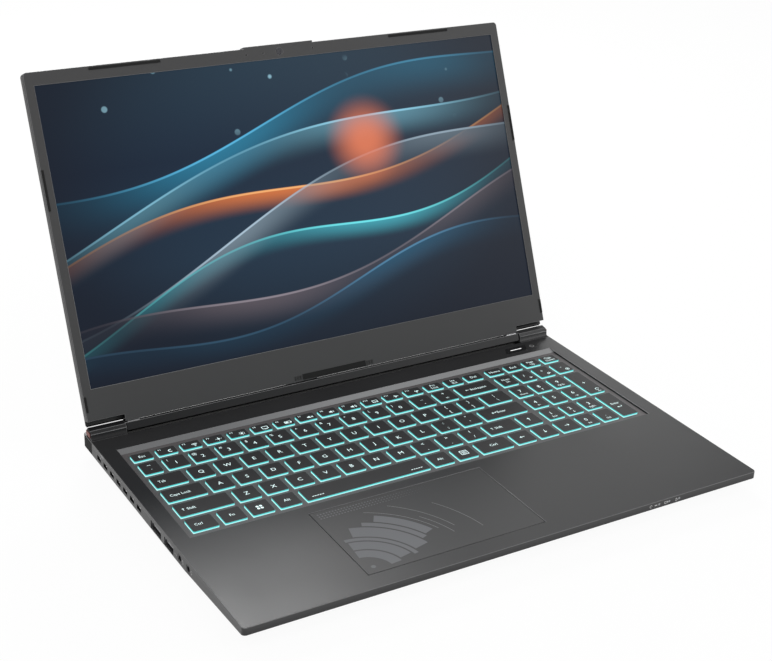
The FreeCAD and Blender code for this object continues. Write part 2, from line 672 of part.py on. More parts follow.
def key_groups():
    """Every key of the keyboard, as runs of equal keys in named groups."""
    left = "keys_left"
    right = "keys_right"
    up = f"({right} - key_wide)"
    digits = f"({left} + tilde_wide + key_gap)"
    backspace = f"({digits} + 12 * {KEY_PITCH})"
    letters = f"({left} + tab_wide + key_gap)"
    slash = f"({letters} + 12 * {KEY_PITCH})"
    home = f"({left} + caps_wide + key_gap)"
    enter = f"({home} + 11 * {KEY_PITCH})"
    lower = f"({left} + shift_wide + key_gap)"
    right_shift = f"({lower} + 10 * {KEY_PITCH})"
    fn = f"({left} + ctrl_wide + key_gap)"
    space = f"({fn} + 3 * {KEY_PITCH})"
    space_wide = f"({up} - 4 * {KEY_PITCH} - {space} - key_gap - 9.3)"
    right_alt = f"({space} + {space_wide} + key_gap)"
    right_ctrl = f"({right_alt} + 2 * {KEY_PITCH})"
    pad = {"wide": "pad_wide", "pitch": PAD_PITCH}
    small = {"deep": "small_deep"}
    tall = f"(key_deep + {ROW_PITCH})"
    return {
        "escape_key": [keys(left, 5, "small_wide", **small)],
        "function_keys": [
            keys(f"{left} + {SMALL_PITCH}", 5, "small_wide", count=15, pitch=SMALL_PITCH, **small),
        ],
        "navigation_keys": [keys(pad_column(0), 5, count=4, **pad, **small)],
        "number_row_keys": [keys(left, 4, "tilde_wide"), keys(digits, 4, count=12)],
        "backspace_key": [keys(backspace, 4, f"{right} - {backspace}")],
        "tab_row_keys": [
            keys(left, 3, "tab_wide"), keys(letters, 3, count=12), keys(slash, 3, f"{right} - {slash}"),
        ],
        "home_row_keys": [keys(left, 2, "caps_wide"), keys(home, 2, count=11)],
        "enter_key": [keys(enter, 2, f"{right} - {enter}")],
        "bottom_letter_keys": [keys(lower, 1, count=10)],
        "shift_keys": [
            keys(left, 1, "shift_wide"), keys(right_shift, 1, f"{up} - key_gap - {right_shift}"),
        ],
        "modifier_keys": [
            keys(left, 0, "ctrl_wide"), keys(fn, 0, count=3), keys(right_alt, 0, count=2),
            keys(right_ctrl, 0, f"{up} - {KEY_PITCH} - key_gap - {right_ctrl}"),
        ],
        "space_bar": [keys(space, 0, space_wide)],
        "arrow_keys": [keys(f"({up} - {KEY_PITCH})", 0, count=3), keys(up, 1)],
        "numpad_keys": [
            keys(pad_column(0), 4, count=4, **pad), keys(pad_column(0), 3, count=3, **pad),
            keys(pad_column(0), 2, count=3, **pad), keys(pad_column(0), 1, count=3, **pad),
            keys(pad_column(1), 0, count=2, **pad),
        ],
        "numpad_tall_keys": [
            keys(pad_column(3), 2, "pad_wide", tall), keys(pad_column(3), 0, "pad_wide", tall),
        ],
    }


def new_body(name):
    body = DOC.addObject("PartDesign::Body", name)
    body.AllowCompound = True
    return body


def flat_sketch(body, height):
    """A sketch on the body's own XY plane, lifted to a bound height."""
    sketch = body.newObject("Sketcher::SketchObject", "outline")
    planes = body.Origin.OriginFeatures
    sketch.AttachmentSupport = [(next(p for p in planes if p.Role == "XY_Plane"), "")]
    sketch.MapMode = "FlatFace"
    sketch.setExpression(".AttachmentOffset.Base.z", bound(height))
    return sketch


def rounded_rectangle(sketch, left, front, wide, deep, radius):
    """A rectangle with rounded corners, fixed by its left front corner, its sides and its radius."""
    x, y, w, d, r = (value(text) for text in (left, front, wide, deep, radius))
    corners = [Vector(x + r, y + r, 0), Vector(x + w - r, y + r, 0)]
    corners += [Vector(x + w - r, y + d - r, 0), Vector(x + r, y + d - r, 0)]
    outward = [Vector(0, -r, 0), Vector(r, 0, 0), Vector(0, r, 0), Vector(-r, 0, 0)]
    quarter = math.pi / 2
    for side in range(4):
        after = (side + 1) % 4
        line = Part.LineSegment(corners[side] + outward[side], corners[after] + outward[side])
        circle = Part.Circle(corners[after], Vector(0, 0, 1), r)
        arc = Part.ArcOfCircle(circle, (side - 1) * quarter, side * quarter)
        sketch.addGeometry([line, arc], False)
    for side in range(4):
        line, arc, following = 2 * side, 2 * side + 1, (2 * side + 2) % 8
        sketch.addConstraint(Constraint("Tangent", line, 2, arc, 1))
        sketch.addConstraint(Constraint("Tangent", arc, 2, following, 1))
        sketch.addConstraint(Constraint("Vertical" if side % 2 else "Horizontal", line))
    for arc in (3, 5, 7):
        sketch.addConstraint(Constraint("Equal", 1, arc))
    fixed = [
        (Constraint("Radius", 1, r), radius),
        (Constraint("DistanceX", -1, 1, 6, 1, x), left),
        (Constraint("DistanceY", -1, 1, 0, 1, y), front),
        (Constraint("DistanceX", 6, 1, 2, 1, w), wide),
        (Constraint("DistanceY", 0, 1, 4, 1, d), deep),
    ]
    for constraint, text in fixed:
        index = sketch.addConstraint(constraint)
        sketch.setExpression(f"Constraints[{index}]", bound(text))


def add_key_run(body, run):
    """Pad one keycap downwards from the deck's height and repeat it along its row."""
    sketch = flat_sketch(body, DECK)
    rounded_rectangle(sketch, run["left"], run["front"], run["wide"], run["deep"], "key_round")
    keycap = body.newObject("PartDesign::Pad", "keycap")
    keycap.Profile = sketch
    keycap.Reversed = True
    keycap.setExpression("Length", bound("key_tall"))
    body.Tip = keycap
    if run["count"] > 1:
        row = body.newObject("PartDesign::LinearPattern", "row")
        row.Originals = [keycap]
        row.Direction = (sketch, ["H_Axis"])
        row.Occurrences = run["count"]
        row.setExpression("Length", bound(f"{run['count'] - 1} * {run['pitch']}"))
        body.Tip = row


def keycaps(label, runs):
    """Keycaps of one group, with tops level with the deck."""
    body = new_body(f"{label}_body")
    for run in runs:
        add_key_run(body, run)
    return body


def every_key(piece):
    """One piece for each key, from its run and the place of its left edge."""
    pieces = []
    for runs in key_groups().values():
        for run in runs:
            for index in range(run["count"]):
                pieces.append(piece(run, f"({run['left']} + {index} * {run['pitch']})"))
    return pieces


def key_hole(run, left):
    """Way for one keycap through the frame, with its running clearance."""
    x = (f"{left} - key_play", f"{left} + ({run['wide']}) + key_play")
    y = (f"{run['front']} - key_play", f"{run['front']} + ({run['deep']}) + key_play")
    return block(x, y, (f"{FRAME_LOW} - 1", f"{FRAME_TOP} + 1"))


def keyboard_frame():
    """Sunken plate between the keys, with a flange under the deck all round."""
    flange = block(
        ("well_left - frame_flange", "well_right + frame_flange"),
        (back("(well_front - frame_flange)"), back("(well_rear + frame_flange)")), (FRAME_LOW, CEILING),
    )
    step = block(
        ("well_left + fit / 2", "well_right - fit / 2"),
        (back("well_front + fit / 2"), back("well_rear - fit / 2")), (f"{CEILING} - frame_thick / 2", FRAME_TOP),
    )
    return cut(fused(flange, step), grouped(*every_key(key_hole)))


def key_area(margin):
    """Plan of the switch plate: all keys and a margin."""
    x = (f"keys_left - {margin}", f"{pad_column(3)} + pad_wide + {margin}")
    y = (back(f"(keys_front - {margin})"), f"{row_front(5)} + small_deep + {margin}")
    return x, y


def keyboard_plate():
    """Steel plate under the keys, with a folded rim up to the frame."""
    x, y = key_area("2.4")
    inner_x, inner_y = key_area("1.6")
    plate = block(x, y, (PLATE_LOW, FRAME_LOW))
    return cut(plate, block(inner_x, inner_y, (PLATE_TOP, f"{FRAME_LOW} + 1")))


def dome(run, left):
    """Rubber dome in the middle of one key, pressed flat."""
    middle = (f"{left} + ({run['wide']}) / 2", f"{run['front']} + ({run['deep']}) / 2")
    return rod("z", "dome_round", (f"{PLATE_TOP} + sheet_thick", SHEET_TOP), middle)


def dome_sheet():
    """Contact sheet with one flattened rubber dome under each key."""
    x, y = key_area("1.4")
    sheet = block(x, y, (PLATE_TOP, f"{PLATE_TOP} + sheet_thick"))
    return grouped(sheet, *every_key(dome))


def build_keyboard():
    for label, runs in key_groups().items():
        node(label, keycaps(label, runs))
    node("keyboard_frame", keyboard_frame())
    node("keyboard_plate", keyboard_plate())
    node("dome_sheet", dome_sheet())


# ---- touchpad, power button and lights -----------------------------------------------------------
PAD_X = ("pad_x - pad_long / 2", "pad_x + pad_long / 2")
PAD_Y = (back("pad_front"), back("(pad_front + pad_deep)"))
PAD_LOW = f"({DECK} - pad_sink - pad_thick)"


def touchpad():
    return rounded(block(PAD_X, PAD_Y, (PAD_LOW, f"{DECK} - pad_sink")), "0.8", upright)


def touchpad_bracket():
    """Tray under the touchpad, hung from the underside of the deck."""
    rim_x = (f"{PAD_X[0]} - bracket_rim", f"{PAD_X[1]} + bracket_rim")
    rim_y = (f"{PAD_Y[0]} - bracket_rim", f"{PAD_Y[1]} + bracket_rim")
    tray = block(rim_x, rim_y, (f"{PAD_LOW} - pad_click - bracket_plate", CEILING))
    inside = block(
        (f"{PAD_X[0]} - 1", f"{PAD_X[1]} + 1"), (f"{PAD_Y[0]} - 1", f"{PAD_Y[1]} + 1"),
        (f"{PAD_LOW} - pad_click", f"{CEILING} + 1"),
    )
    return cut(tray, inside)


def power_button():
    low = f"{DECK} - button_thick"
    return prism("xy", (low, DECK), button_outline("0"))


def status_lights():
    """Light guides behind the small holes in the front wall."""
    guides = []
    for index in range(3):
        middle = f"light_first + {index} * light_pitch"
        span = (f"{FRONT} + 0.1", f"{FRONT} + light_long")
        guides.append(rod("y", "light_round - 0.1", span, (middle, f"{DECK} - light_down")))
    return grouped(*guides)


# ---- ports ---------------------------------------------------------------------------------------
def socket(sign, place, long):
    """A metal socket shell behind the side wall, open outwards, with its tongue."""
    mouth = f"{SIDE} - port_lip"
    deep = f"{mouth} - port_deep"
    middle = back(f"({place})")
    half = f"({long} / 2 - 0.1)"
    low = f"{DECK} - port_down - usb_tall / 2 + 0.1"
    high = f"{DECK} - port_down + usb_tall / 2 - 0.1"
    shell = block(sided(sign, deep, mouth), (f"{middle} - {half}", f"{middle} + {half}"), (low, high))
    bore = block(
        sided(sign, f"{deep} + port_skin", f"{mouth} + 1"),
        (f"{middle} - {half} + port_skin", f"{middle} + {half} - port_skin"),
        (f"{low} + port_skin", f"{high} - port_skin"),
    )
    centre = f"{DECK} - port_down"
    tongue = block(
        sided(sign, deep, f"{mouth} - 1"), (f"{middle} - {half} + 1", f"{middle} + {half} - 1"),
        (f"{centre} - tongue_thick / 2", f"{centre} + tongue_thick / 2"),
    )
    return fused(cut(shell, bore), tongue)


def round_jack(sign, place, down, body, bore, deep):
    """A round socket in a side wall, with its collar in the wall's hole."""
    centre = (back(place), f"{DECK} - {down}")
    mouth = f"{SIDE} - 0.1"
    collar = rod("x", f"{body} - 0.1", sided(sign, f"{mouth} - {deep}", mouth), centre)
    hole = rod("x", bore, sided(sign, f"{mouth} - {deep} + 1", f"{mouth} + 1"), centre)
    return cut(collar, hole)


def power_jack():
    """Round inlet for the power supply, with its centre pin."""
    jack = round_jack(1, "power_at", "power_down", "power_body", "power_round", "power_deep")
    pin = rod(
        "x", "power_pin", sided(1, f"{SIDE} - power_deep", f"{SIDE} - 2"), (back("power_at"), f"{DECK} - power_down"),
    )
    return fused(jack, pin)


def build_ports():
    node("video_port", socket(-1, "video_at", "video_long"))
    node("usb_ports", grouped(*[socket(sign, "usb_at", "usb_long") for sign in (-1, 1)]))
    jacks = [
        round_jack(-1, place, "jack_down", "jack_body", "jack_round", "jack_deep")
        for place in ("jack_rear", "jack_front")
    ]
    node("audio_jacks", grouped(*jacks))
    node("power_jack", power_jack())
    node("status_lights", status_lights())


# ---- inside ----------------------------------------------------------------------------------------
BOARD_HALF = "(base_wide / 2 - port_lip - port_deep - 0.2)"
BOARD_TOP = "(board_low + board_thick)"
CHIP_LOW = "(board_low - chip_tall)"
SPREADER_LOW = f"({CHIP_LOW} - spreader_thick)"
PIPE_LOW = f"({SPREADER_LOW} - pipe_tall)"
FAN_Y = back("fan_from_front")
FAN_FRONT = f"({FAN_Y} - fan_deep / 2)"
FAN_REAR = f"({FAN_Y} + fan_deep / 2)"
FAN_TOP = "(fan_low + fan_tall)"
FIN_X = ("fan_x + fan_long / 2 + 1", "fan_x + fan_long / 2 + 1 + fin_long")
PIPE_Y = f"({FAN_FRONT} - 2 - pipe_wide)"


def mainboard():
    """Board across the base, narrowed between the fans."""
    half = BOARD_HALF
    neck = "(fan_x - fan_long / 2 - 2)"
    front = back("(battery_front + battery_deep + 4)")
    shoulder = f"({FAN_FRONT} - 1)"
    rear = f"({HINGE_Y} - trough_round - wall - 2)"
    corners = [
        (f"0 - {half}", front), (half, front), (half, shoulder), (neck, shoulder), (neck, rear),
        (f"0 - {neck}", rear), (f"0 - {neck}", shoulder), (f"0 - {half}", shoulder),
    ]
    return prism("xy", ("board_low", BOARD_TOP), corners)


CHIPS = (("processor_x", "processor_wide / 2"), ("graphics_x", "graphics_wide / 2"))


def board_chips():
    """Processor and graphics chip on the board's underside, with smaller chips about them."""
    chips = []
    tall = (CHIP_LOW, "board_low")
    for x, half in CHIPS:
        y = back("chips_from_front")
        chips.append(block((f"{x} - {half}", f"{x} + {half}"), (f"{y} - {half}", f"{y} + {half}"), tall))
    for column in range(2):
        for row in range(3):
            left = f"video_chip_x + {column} * video_chip_pitch_x"
            front = f"(video_chip_front + {row} * video_chip_pitch_y)"
            x = (left, f"{left} + video_chip_wide")
            chips.append(block(x, (back(front), back(f"({front} + video_chip_deep)")), tall))
    return grouped(*chips)


def heat_spreader():
    """Copper plate pressed against both large chips."""
    y = back("chips_from_front")
    x = ("0 - spreader_left", "spreader_right")
    return block(x, (f"{y} - spreader_deep / 2", f"{y} + spreader_deep / 2"), (SPREADER_LOW, CHIP_LOW))


def heat_pipes():
    """One pipe to each side: across the spreader, along the fan's front, back along the fins."""
    pipes = []
    for sign in (-1, 1):
        across = block(sided(sign, 4, FIN_X[1]), (PIPE_Y, f"{PIPE_Y} + pipe_wide"), (PIPE_LOW, SPREADER_LOW))
        along = block(
            sided(sign, f"{FIN_X[1]} - pipe_wide", FIN_X[1]), (PIPE_Y, f"{FAN_REAR} - 2"),
            (PIPE_LOW, SPREADER_LOW),
        )
        pipes.append(fused(across, along))
    return grouped(*pipes)


def fin_stack(sign):
    """Thin fins that stand on the pipe behind the side vents."""
    body = new_body("fins_body")
    sketch = flat_sketch(body, SPREADER_LOW)
    x = sided(sign, *FIN_X)
    trace(sketch, rectangle(x, (f"{FAN_FRONT} + 2", f"{FAN_FRONT} + 2 + fin_thick")))
    fin = body.newObject("PartDesign::Pad", "fin")
    fin.Profile = sketch
    fin.setExpression("Length", bound(f"{FAN_TOP} - {SPREADER_LOW}"))
    row = body.newObject("PartDesign::LinearPattern", "fins")
    row.Originals = [fin]
    row.Direction = (sketch, ["V_Axis"])
    row.setExpression("Length", bound("fan_deep - 6"))
    row.setExpression("Occurrences", bound("round((fan_deep - 6) / fin_pitch) + 1"))
    body.Tip = row
    sketch = flat_sketch(body, SPREADER_LOW)
    trace(sketch, rectangle(x, (f"{FAN_FRONT} + 2", f"{FAN_REAR} - 4 + fin_thick")))
    foot = body.newObject("PartDesign::Pad", "foot")
    foot.Profile = sketch
    foot.setExpression("Length", bound("fin_thick"))
    body.Tip = foot
    return body


def fan_housing(sign):
    """Flat box, open towards the fins and round both intakes, with the shaft on its floor."""
    middle = f"({sign} * fan_x)"
    half = "fan_long / 2"
    shell = block((f"{middle} - {half}", f"{middle} + {half}"), (FAN_FRONT, FAN_REAR), ("fan_low", FAN_TOP))
    inside = block(
        sided(sign, f"fan_x - {half} + fan_skin", f"fan_x + {half} + 1"),
        (f"{FAN_FRONT} + fan_skin", f"{FAN_REAR} - fan_skin"), ("fan_low + fan_skin", f"{FAN_TOP} - fan_skin"),
    )
    low_ring = rod("z", "fan_hole", ("fan_low - 1", "fan_low + fan_skin + 0.1"), (middle, FAN_Y))
    top_ring = rod("z", "fan_hole", (f"{FAN_TOP} - fan_skin - 0.1", f"{FAN_TOP} + 1"), (middle, FAN_Y))
    floor = "fan_low + fan_skin"
    spokes = [
        block((f"{middle} - {half}", f"{middle} + {half}"), (f"{FAN_Y} - 1.5", f"{FAN_Y} + 1.5"),
              ("fan_low", floor)),
        block((f"{middle} - 1.5", f"{middle} + 1.5"), (FAN_FRONT, FAN_REAR), ("fan_low", floor)),
    ]
    seat = rod("z", "hub_round - 1", ("fan_low", floor), (middle, FAN_Y))
    shaft = rod("z", "shaft_round", ("fan_low", f"{FAN_TOP} - fan_skin - 1"), (middle, FAN_Y))
    return fused(cut(shell, inside, low_ring, top_ring), *spokes, seat, shaft)


def fan_rotor(sign):
    """Hub with a bore for the shaft and a ring of blades."""
    low = "fan_low + fan_skin + rotor_gap"
    tall = "(fan_tall - 2 * fan_skin - 2 * rotor_gap)"
    body = new_body("rotor_body")
    sketch = flat_sketch(body, low)
    sketch.addGeometry(Part.Circle(Vector(), Vector(0, 0, 1), value("hub_round")), False)
    sketch.addGeometry(Part.Circle(Vector(), Vector(0, 0, 1), value("shaft_round")), False)
    for index, radius in enumerate(("hub_round", "shaft_round + shaft_play")):
        sketch.addConstraint(Constraint("Coincident", index, 3, -1, 1))
        number = sketch.addConstraint(Constraint("Radius", index, value(radius)))
        sketch.setExpression(f"Constraints[{number}]", bound(radius))
    hub = body.newObject("PartDesign::Pad", "hub")
    hub.Profile = sketch
    hub.setExpression("Length", bound(tall))
    sketch = flat_sketch(body, low)
    half = "blade_thick / 2"
    trace(sketch, [
        ("hub_round - 1", f"0 - {half}"), ("rotor_round", f"3 - {half}"), ("rotor_round", f"3 + {half}"),
        ("hub_round - 1", half),
    ])
    blade = body.newObject("PartDesign::Pad", "blade")
    blade.Profile = sketch
    blade.setExpression("Length", bound(tall))
    blades = body.newObject("PartDesign::PolarPattern", "blades")
    blades.Originals = [blade]
    blades.Axis = (sketch, ["N_Axis"])
    blades.Angle = 360
    blades.Occurrences = 23
    body.Tip = blades
    return moved(body, f"{sign} * fan_x", FAN_Y, 0)


def battery_pack():
    """Flat pack of cells under the palm rest."""
    middle = "pad_x + battery_shift"
    x = (f"{middle} - battery_long / 2", f"{middle} + battery_long / 2")
    y = (back("battery_front"), back("(battery_front + battery_deep)"))
    return rounded(block(x, y, (FLOOR, f"{FLOOR} + battery_tall")), "2", upright)


def speaker(sign):
    """Box speaker in the front corner."""
    near = f"{SIDE} - floor_inset_side - wall - 1 - speaker_long"
    x = sided(sign, near, f"{near} + speaker_long")
    y = (back("battery_front"), back("(battery_front + speaker_deep)"))
    return rounded(block(x, y, (FLOOR, f"{FLOOR} + speaker_tall")), "3", upright)


def edge_card(x, wide, deep):
    """A card in a socket on the board's underside, with chips on it."""
    front = back("cards_from_front")
    bar_rear = f"{front} + socket_deep"
    rear = f"{front} + {deep}"
    bar = block((x, f"{x} + {wide}"), (front, bar_rear), (f"{CHIP_LOW} - 1", "board_low"))
    card = block((x, f"{x} + {wide}"), (bar_rear, rear), (f"{CHIP_LOW} - card_thick", CHIP_LOW))
    chips = block(
        (f"{x} + card_margin", f"{x} + {wide} - card_margin"),
        (f"{bar_rear} + card_margin", f"{rear} - card_margin"), (CHIP_LOW, "board_low"),
    )
    return fused(bar, card, chips)


def memory_modules():
    """Two modules side by side."""
    return grouped(*[
        edge_card(f"(memory_x + {index} * memory_pitch)", "memory_wide", "memory_deep") for index in range(2)
    ])


def build_inside():
    node("mainboard", mainboard())
    node("board_chips", board_chips())
    node("heat_spreader", heat_spreader())
    node("heat_pipes", heat_pipes())
    node("battery_pack", battery_pack())
    node("memory_modules", memory_modules())
    node("solid_state_drive", edge_card("drive_x", "card_wide", "drive_deep"))
    node("wireless_card", edge_card("radio_x", "card_wide", "radio_deep"))
    for side, sign in (("left", -1), ("right", 1)):
        node(f"fin_stack_{side}", fin_stack(sign))
        node(f"fan_housing_{side}", fan_housing(sign))
        node(f"fan_rotor_{side}", fan_rotor(sign))
        node(f"speaker_{side}", speaker(sign))


# ---- the whole laptop ------------------------------------------------------------------------------
def check_and_export():
    """Every object must be up to date, and every node a valid shape, before any file is written."""
    DOC.recompute()
    failed = [thing.Label for thing in DOC.Objects if {"Invalid", "Error"} & set(thing.State)]
    for piece in NODES:
        shape = piece.Shape
        if shape.isNull() or not shape.isValid() or shape.Volume <= 0:
            failed.append(piece.Label)
    if failed:
        raise RuntimeError(f"pieces that failed: {sorted(set(failed))}")
    os.makedirs("parts", exist_ok=True)
    for piece in NODES:
        piece.Shape.exportStep(f"parts/{piece.Label}.step")
        print(f"{piece.Label:24s} solids {len(piece.Shape.Solids):3d}  volume {piece.Shape.Volume:10.1f}")


build_case()
build_lid()
build_keyboard()
node("touchpad", touchpad())
node("touchpad_bracket", touchpad_bracket())
node("power_button", power_button())
build_ports()
build_inside()
check_and_export()
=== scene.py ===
import json
import math

import bmesh
import bpy
from mathutils import Euler, Matrix, Vector


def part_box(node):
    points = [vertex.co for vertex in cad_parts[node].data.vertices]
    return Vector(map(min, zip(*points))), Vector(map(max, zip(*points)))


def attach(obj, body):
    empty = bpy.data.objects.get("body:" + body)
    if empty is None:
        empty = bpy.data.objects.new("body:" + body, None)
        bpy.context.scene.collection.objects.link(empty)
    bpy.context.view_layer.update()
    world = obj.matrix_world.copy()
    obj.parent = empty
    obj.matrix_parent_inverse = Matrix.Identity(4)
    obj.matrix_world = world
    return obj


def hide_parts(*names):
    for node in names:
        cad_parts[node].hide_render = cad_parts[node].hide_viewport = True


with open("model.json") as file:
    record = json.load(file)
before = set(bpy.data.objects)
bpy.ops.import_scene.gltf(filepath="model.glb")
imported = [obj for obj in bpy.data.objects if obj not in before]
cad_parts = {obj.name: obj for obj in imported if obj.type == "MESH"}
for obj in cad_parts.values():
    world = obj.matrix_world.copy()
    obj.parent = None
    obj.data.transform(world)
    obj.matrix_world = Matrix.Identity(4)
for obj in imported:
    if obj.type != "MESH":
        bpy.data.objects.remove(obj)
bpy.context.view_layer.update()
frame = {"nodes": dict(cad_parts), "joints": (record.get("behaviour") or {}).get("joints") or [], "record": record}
NODES = frame["nodes"]
BODY_OF = {}
for body_name, members in frame["record"]["behaviour"]["bodies"].items():
    for member in members:
        BODY_OF[member] = body_name

MM = 0.001
SCENE = bpy.context.scene

# ---- small sizes, in millimetres ---------------------------------------------------------------
MARK_LIFT = 0.03  # how far marks stand off plain faces
PRINT_LIFT = 0.02  # the same for the keys and the touchpad
WALL_LIFT = 0.01  # and for the side walls
WELD = 0.001
KEY_EDGE_WIDTH = 0.14
ROW_STEP = 12  # twice the depth that still counts as one row of solids
RIB_UP, RIB_OUT = 4.3, 3.3  # from the hinge axis, along the lid and out of the screen
CONTACT_DEEP, CONTACT_DROP = 4.2, 0.4
# dark flaps that stand for the shade in the slit behind the hinge covers: painted shade
SHADE_FLAP_FOOT, SHADE_FLAP_TALL = 2.6, 1.0
SHADE_FLAP_BACK, SHADE_FLAP_THICK = 3.4, 0.3
SHADE_FLAP_LAP, SHADE_FLAP_INSET = 0.2, 0.6

# ---- rounding and shading of edges -------------------------------------------------------------
EDGE_STEPS = 2
OUTER_EDGE = 0.45  # radians between the faces of an edge that is rounded
SOFT_ANGLE = 22  # degrees between faces that still shade as one

# ---- places, in metres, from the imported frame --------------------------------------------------
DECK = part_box("top_case")[1].z
BASE_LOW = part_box("top_case")[0]
FRONT = BASE_LOW.y
FRAME_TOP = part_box("keyboard_frame")[1].z
LID_TILT = math.radians(23.24)
LID_UP = Vector((0, math.sin(LID_TILT), math.cos(LID_TILT)))
LID_OUT = Vector((0, -math.cos(LID_TILT), math.sin(LID_TILT)))
HINGE = Vector(next(joint["pos_m"] for joint in frame["joints"] if joint["name"] == "lid_hinge"))
RIGHT = Vector((1, 0, 0))
BACK = Vector((0, 1, 0))
UP = Vector((0, 0, 1))
# the lit picture: half its width, and its foot and height along the lid from the hinge axis
SCREEN_HALF, SCREEN_FOOT, SCREEN_TALL = 0.1721, 0.0265, 0.1936
# the slope behind the keys, and the trough under the hinge barrel
SLOPE_FRONT, SLOPE_BACK, SLOPE_DEEP = 0.0823, 0.0876, 0.0016
TROUGH_FRONT, TROUGH_HALF = HINGE.y - 0.0085, 0.156


def on_lid(x, up, out=0.0):
    """A point of the lid: across, up from the hinge axis, and out of the screen."""
    return HINGE + RIGHT * x + LID_UP * up + LID_OUT * out


# ---- materials ---------------------------------------------------------------------------------
class Wire:
    """One socket of a material; plain arithmetic on it adds Math nodes."""

    def __init__(self, finish, socket):
        self.finish = finish
        self.socket = socket

    def math(self, operation, *others, first=None):
        places = [first, self] if first is not None else [self, *others]
        return self.finish.add("ShaderNodeMath", {"operation": operation}, dict(enumerate(places)))

    def __add__(self, other):
        return self.math("ADD", other)

    def __mul__(self, other):
        return self.math("MULTIPLY", other)

    def __sub__(self, other):
        return self.math("SUBTRACT", other)

    def __truediv__(self, other):
        return self.math("DIVIDE", other)

    def __pow__(self, other):
        return self.math("POWER", other)

    def __gt__(self, other):
        return self.math("GREATER_THAN", other)

    def __lt__(self, other):
        return self.math("LESS_THAN", other)

    def __rsub__(self, other):
        return self.math("SUBTRACT", first=other)

    def __rtruediv__(self, other):
        return self.math("DIVIDE", first=other)

    __radd__ = __add__
    __rmul__ = __mul__

    def rise(self, low, high):
        """0 below low, 1 above high, smooth between."""
        steps = {"interpolation_type": "SMOOTHSTEP"}
        sockets = {"Value": self, "From Min": low, "From Max": high}
        return self.finish.add("ShaderNodeMapRange", steps, sockets)

    def within(self, low, high, soft):
        """1 between low and high, with soft edges."""
        return self.rise(low - soft, low) * (1 - self.rise(high, high + soft))

    def ramp(self, *stops):
        """A colour from this number, through (place, colour) stops."""
        return self.finish.add("ShaderNodeValToRGB", {"stops": stops}, {"Fac": self})


class Finish:
    """A material.  add() puts a node in; set() gives the shader its values."""

    def __init__(self, name):
        self.material = bpy.data.materials.new(name)
        self.material.use_nodes = True
        self.tree = self.material.node_tree
        self.shader = self.tree.nodes["Principled BSDF"]
        coordinates = self.tree.nodes.new("ShaderNodeTexCoord")
        self.place = Wire(self, coordinates.outputs["Object"])
        parts = self.tree.nodes.new("ShaderNodeSeparateXYZ")
        self.tree.links.new(self.place.socket, parts.inputs[0])
        self.x, self.y, self.z = (Wire(self, parts.outputs[index]) for index in range(3))

    def join(self, value, socket):
        if isinstance(value, Wire):
            self.tree.links.new(value.socket, socket)
        else:
            socket.default_value = value

    def add(self, kind, settings, sockets, out=0):
        node = self.tree.nodes.new(kind)
        for name, setting in settings.items():
            if name == "stops":
                elements = node.color_ramp.elements
                while len(elements) < len(setting):
                    elements.new(0.5)
                for element, (place, colour) in zip(elements, setting):
                    element.position = place
                    element.color = (*colour, 1)
            else:
                setattr(node, name, setting)
        for name, value in sockets.items():
            self.join(value, node.inputs[name])
        return Wire(self, node.outputs[out])

    def noise(self, scale, detail=2.0, stretch=None):
        """Cloudy values from 0 to 1; stretch scales the coordinates first."""
        place = self.place
        if stretch:
            place = self.add("ShaderNodeMapping", {}, {"Vector": place, "Scale": stretch})
        return self.add("ShaderNodeTexNoise", {}, {"Vector": place, "Scale": scale, "Detail": detail})

    def cells(self, scale):
        """Distance pattern of scattered points."""
        return self.add("ShaderNodeTexVoronoi", {}, {"Vector": self.place, "Scale": scale})

    def mix(self, factor, first, second):
        sockets = {0: factor, 6: first if isinstance(first, Wire) else (*first, 1)}
        sockets[7] = second if isinstance(second, Wire) else (*second, 1)
        return self.add("ShaderNodeMix", {"data_type": "RGBA"}, sockets, out=2)

    def bump(self, height, depth):
        relief = self.add("ShaderNodeBump", {}, {"Height": height, "Distance": depth})
        self.join(relief, self.shader.inputs["Normal"])
        return self

    def set(self, **values):
        """Values by socket name, with spaces written as underscores."""
        for name, value in values.items():
            if name in ("Base_Color", "Emission_Color") and not isinstance(value, Wire):
                value = (*value, 1)
            self.join(value, self.shader.inputs[name.replace("_", " ")])
        return self


def moulded_plastic(name, colour, rough=0.45, level=0.35, grain=0.006, spread=0.12):
    """Satin plastic or paint with a fine spark grain and faint cloudiness."""
    finish = Finish(name)
    fine = finish.noise(5200, 2.0)
    cloud = finish.noise(26, 3.0)
    darker = tuple(part * (1 - spread) for part in colour)
    lighter = tuple(part * (1 + spread) for part in colour)
    finish.set(Base_Color=finish.mix(cloud * 0.6 + fine * 0.4, darker, lighter))
    finish.set(Roughness=cloud * 0.08 + fine * 0.06 + (rough - 0.07), Specular_IOR_Level=level)
    return finish.bump(fine, grain * MM)


def brushed_metal(name, colour, rough=0.35, along=(1, 14, 14)):
    finish = Finish(name)
    lines = finish.noise(700, 3.0, stretch=along)
    darker = tuple(part * 0.8 for part in colour)
    finish.set(Base_Color=finish.mix(lines, darker, colour), Metallic=1.0)
    finish.set(Roughness=lines * 0.2 + (rough - 0.1))
    return finish.bump(lines, 0.01 * MM)


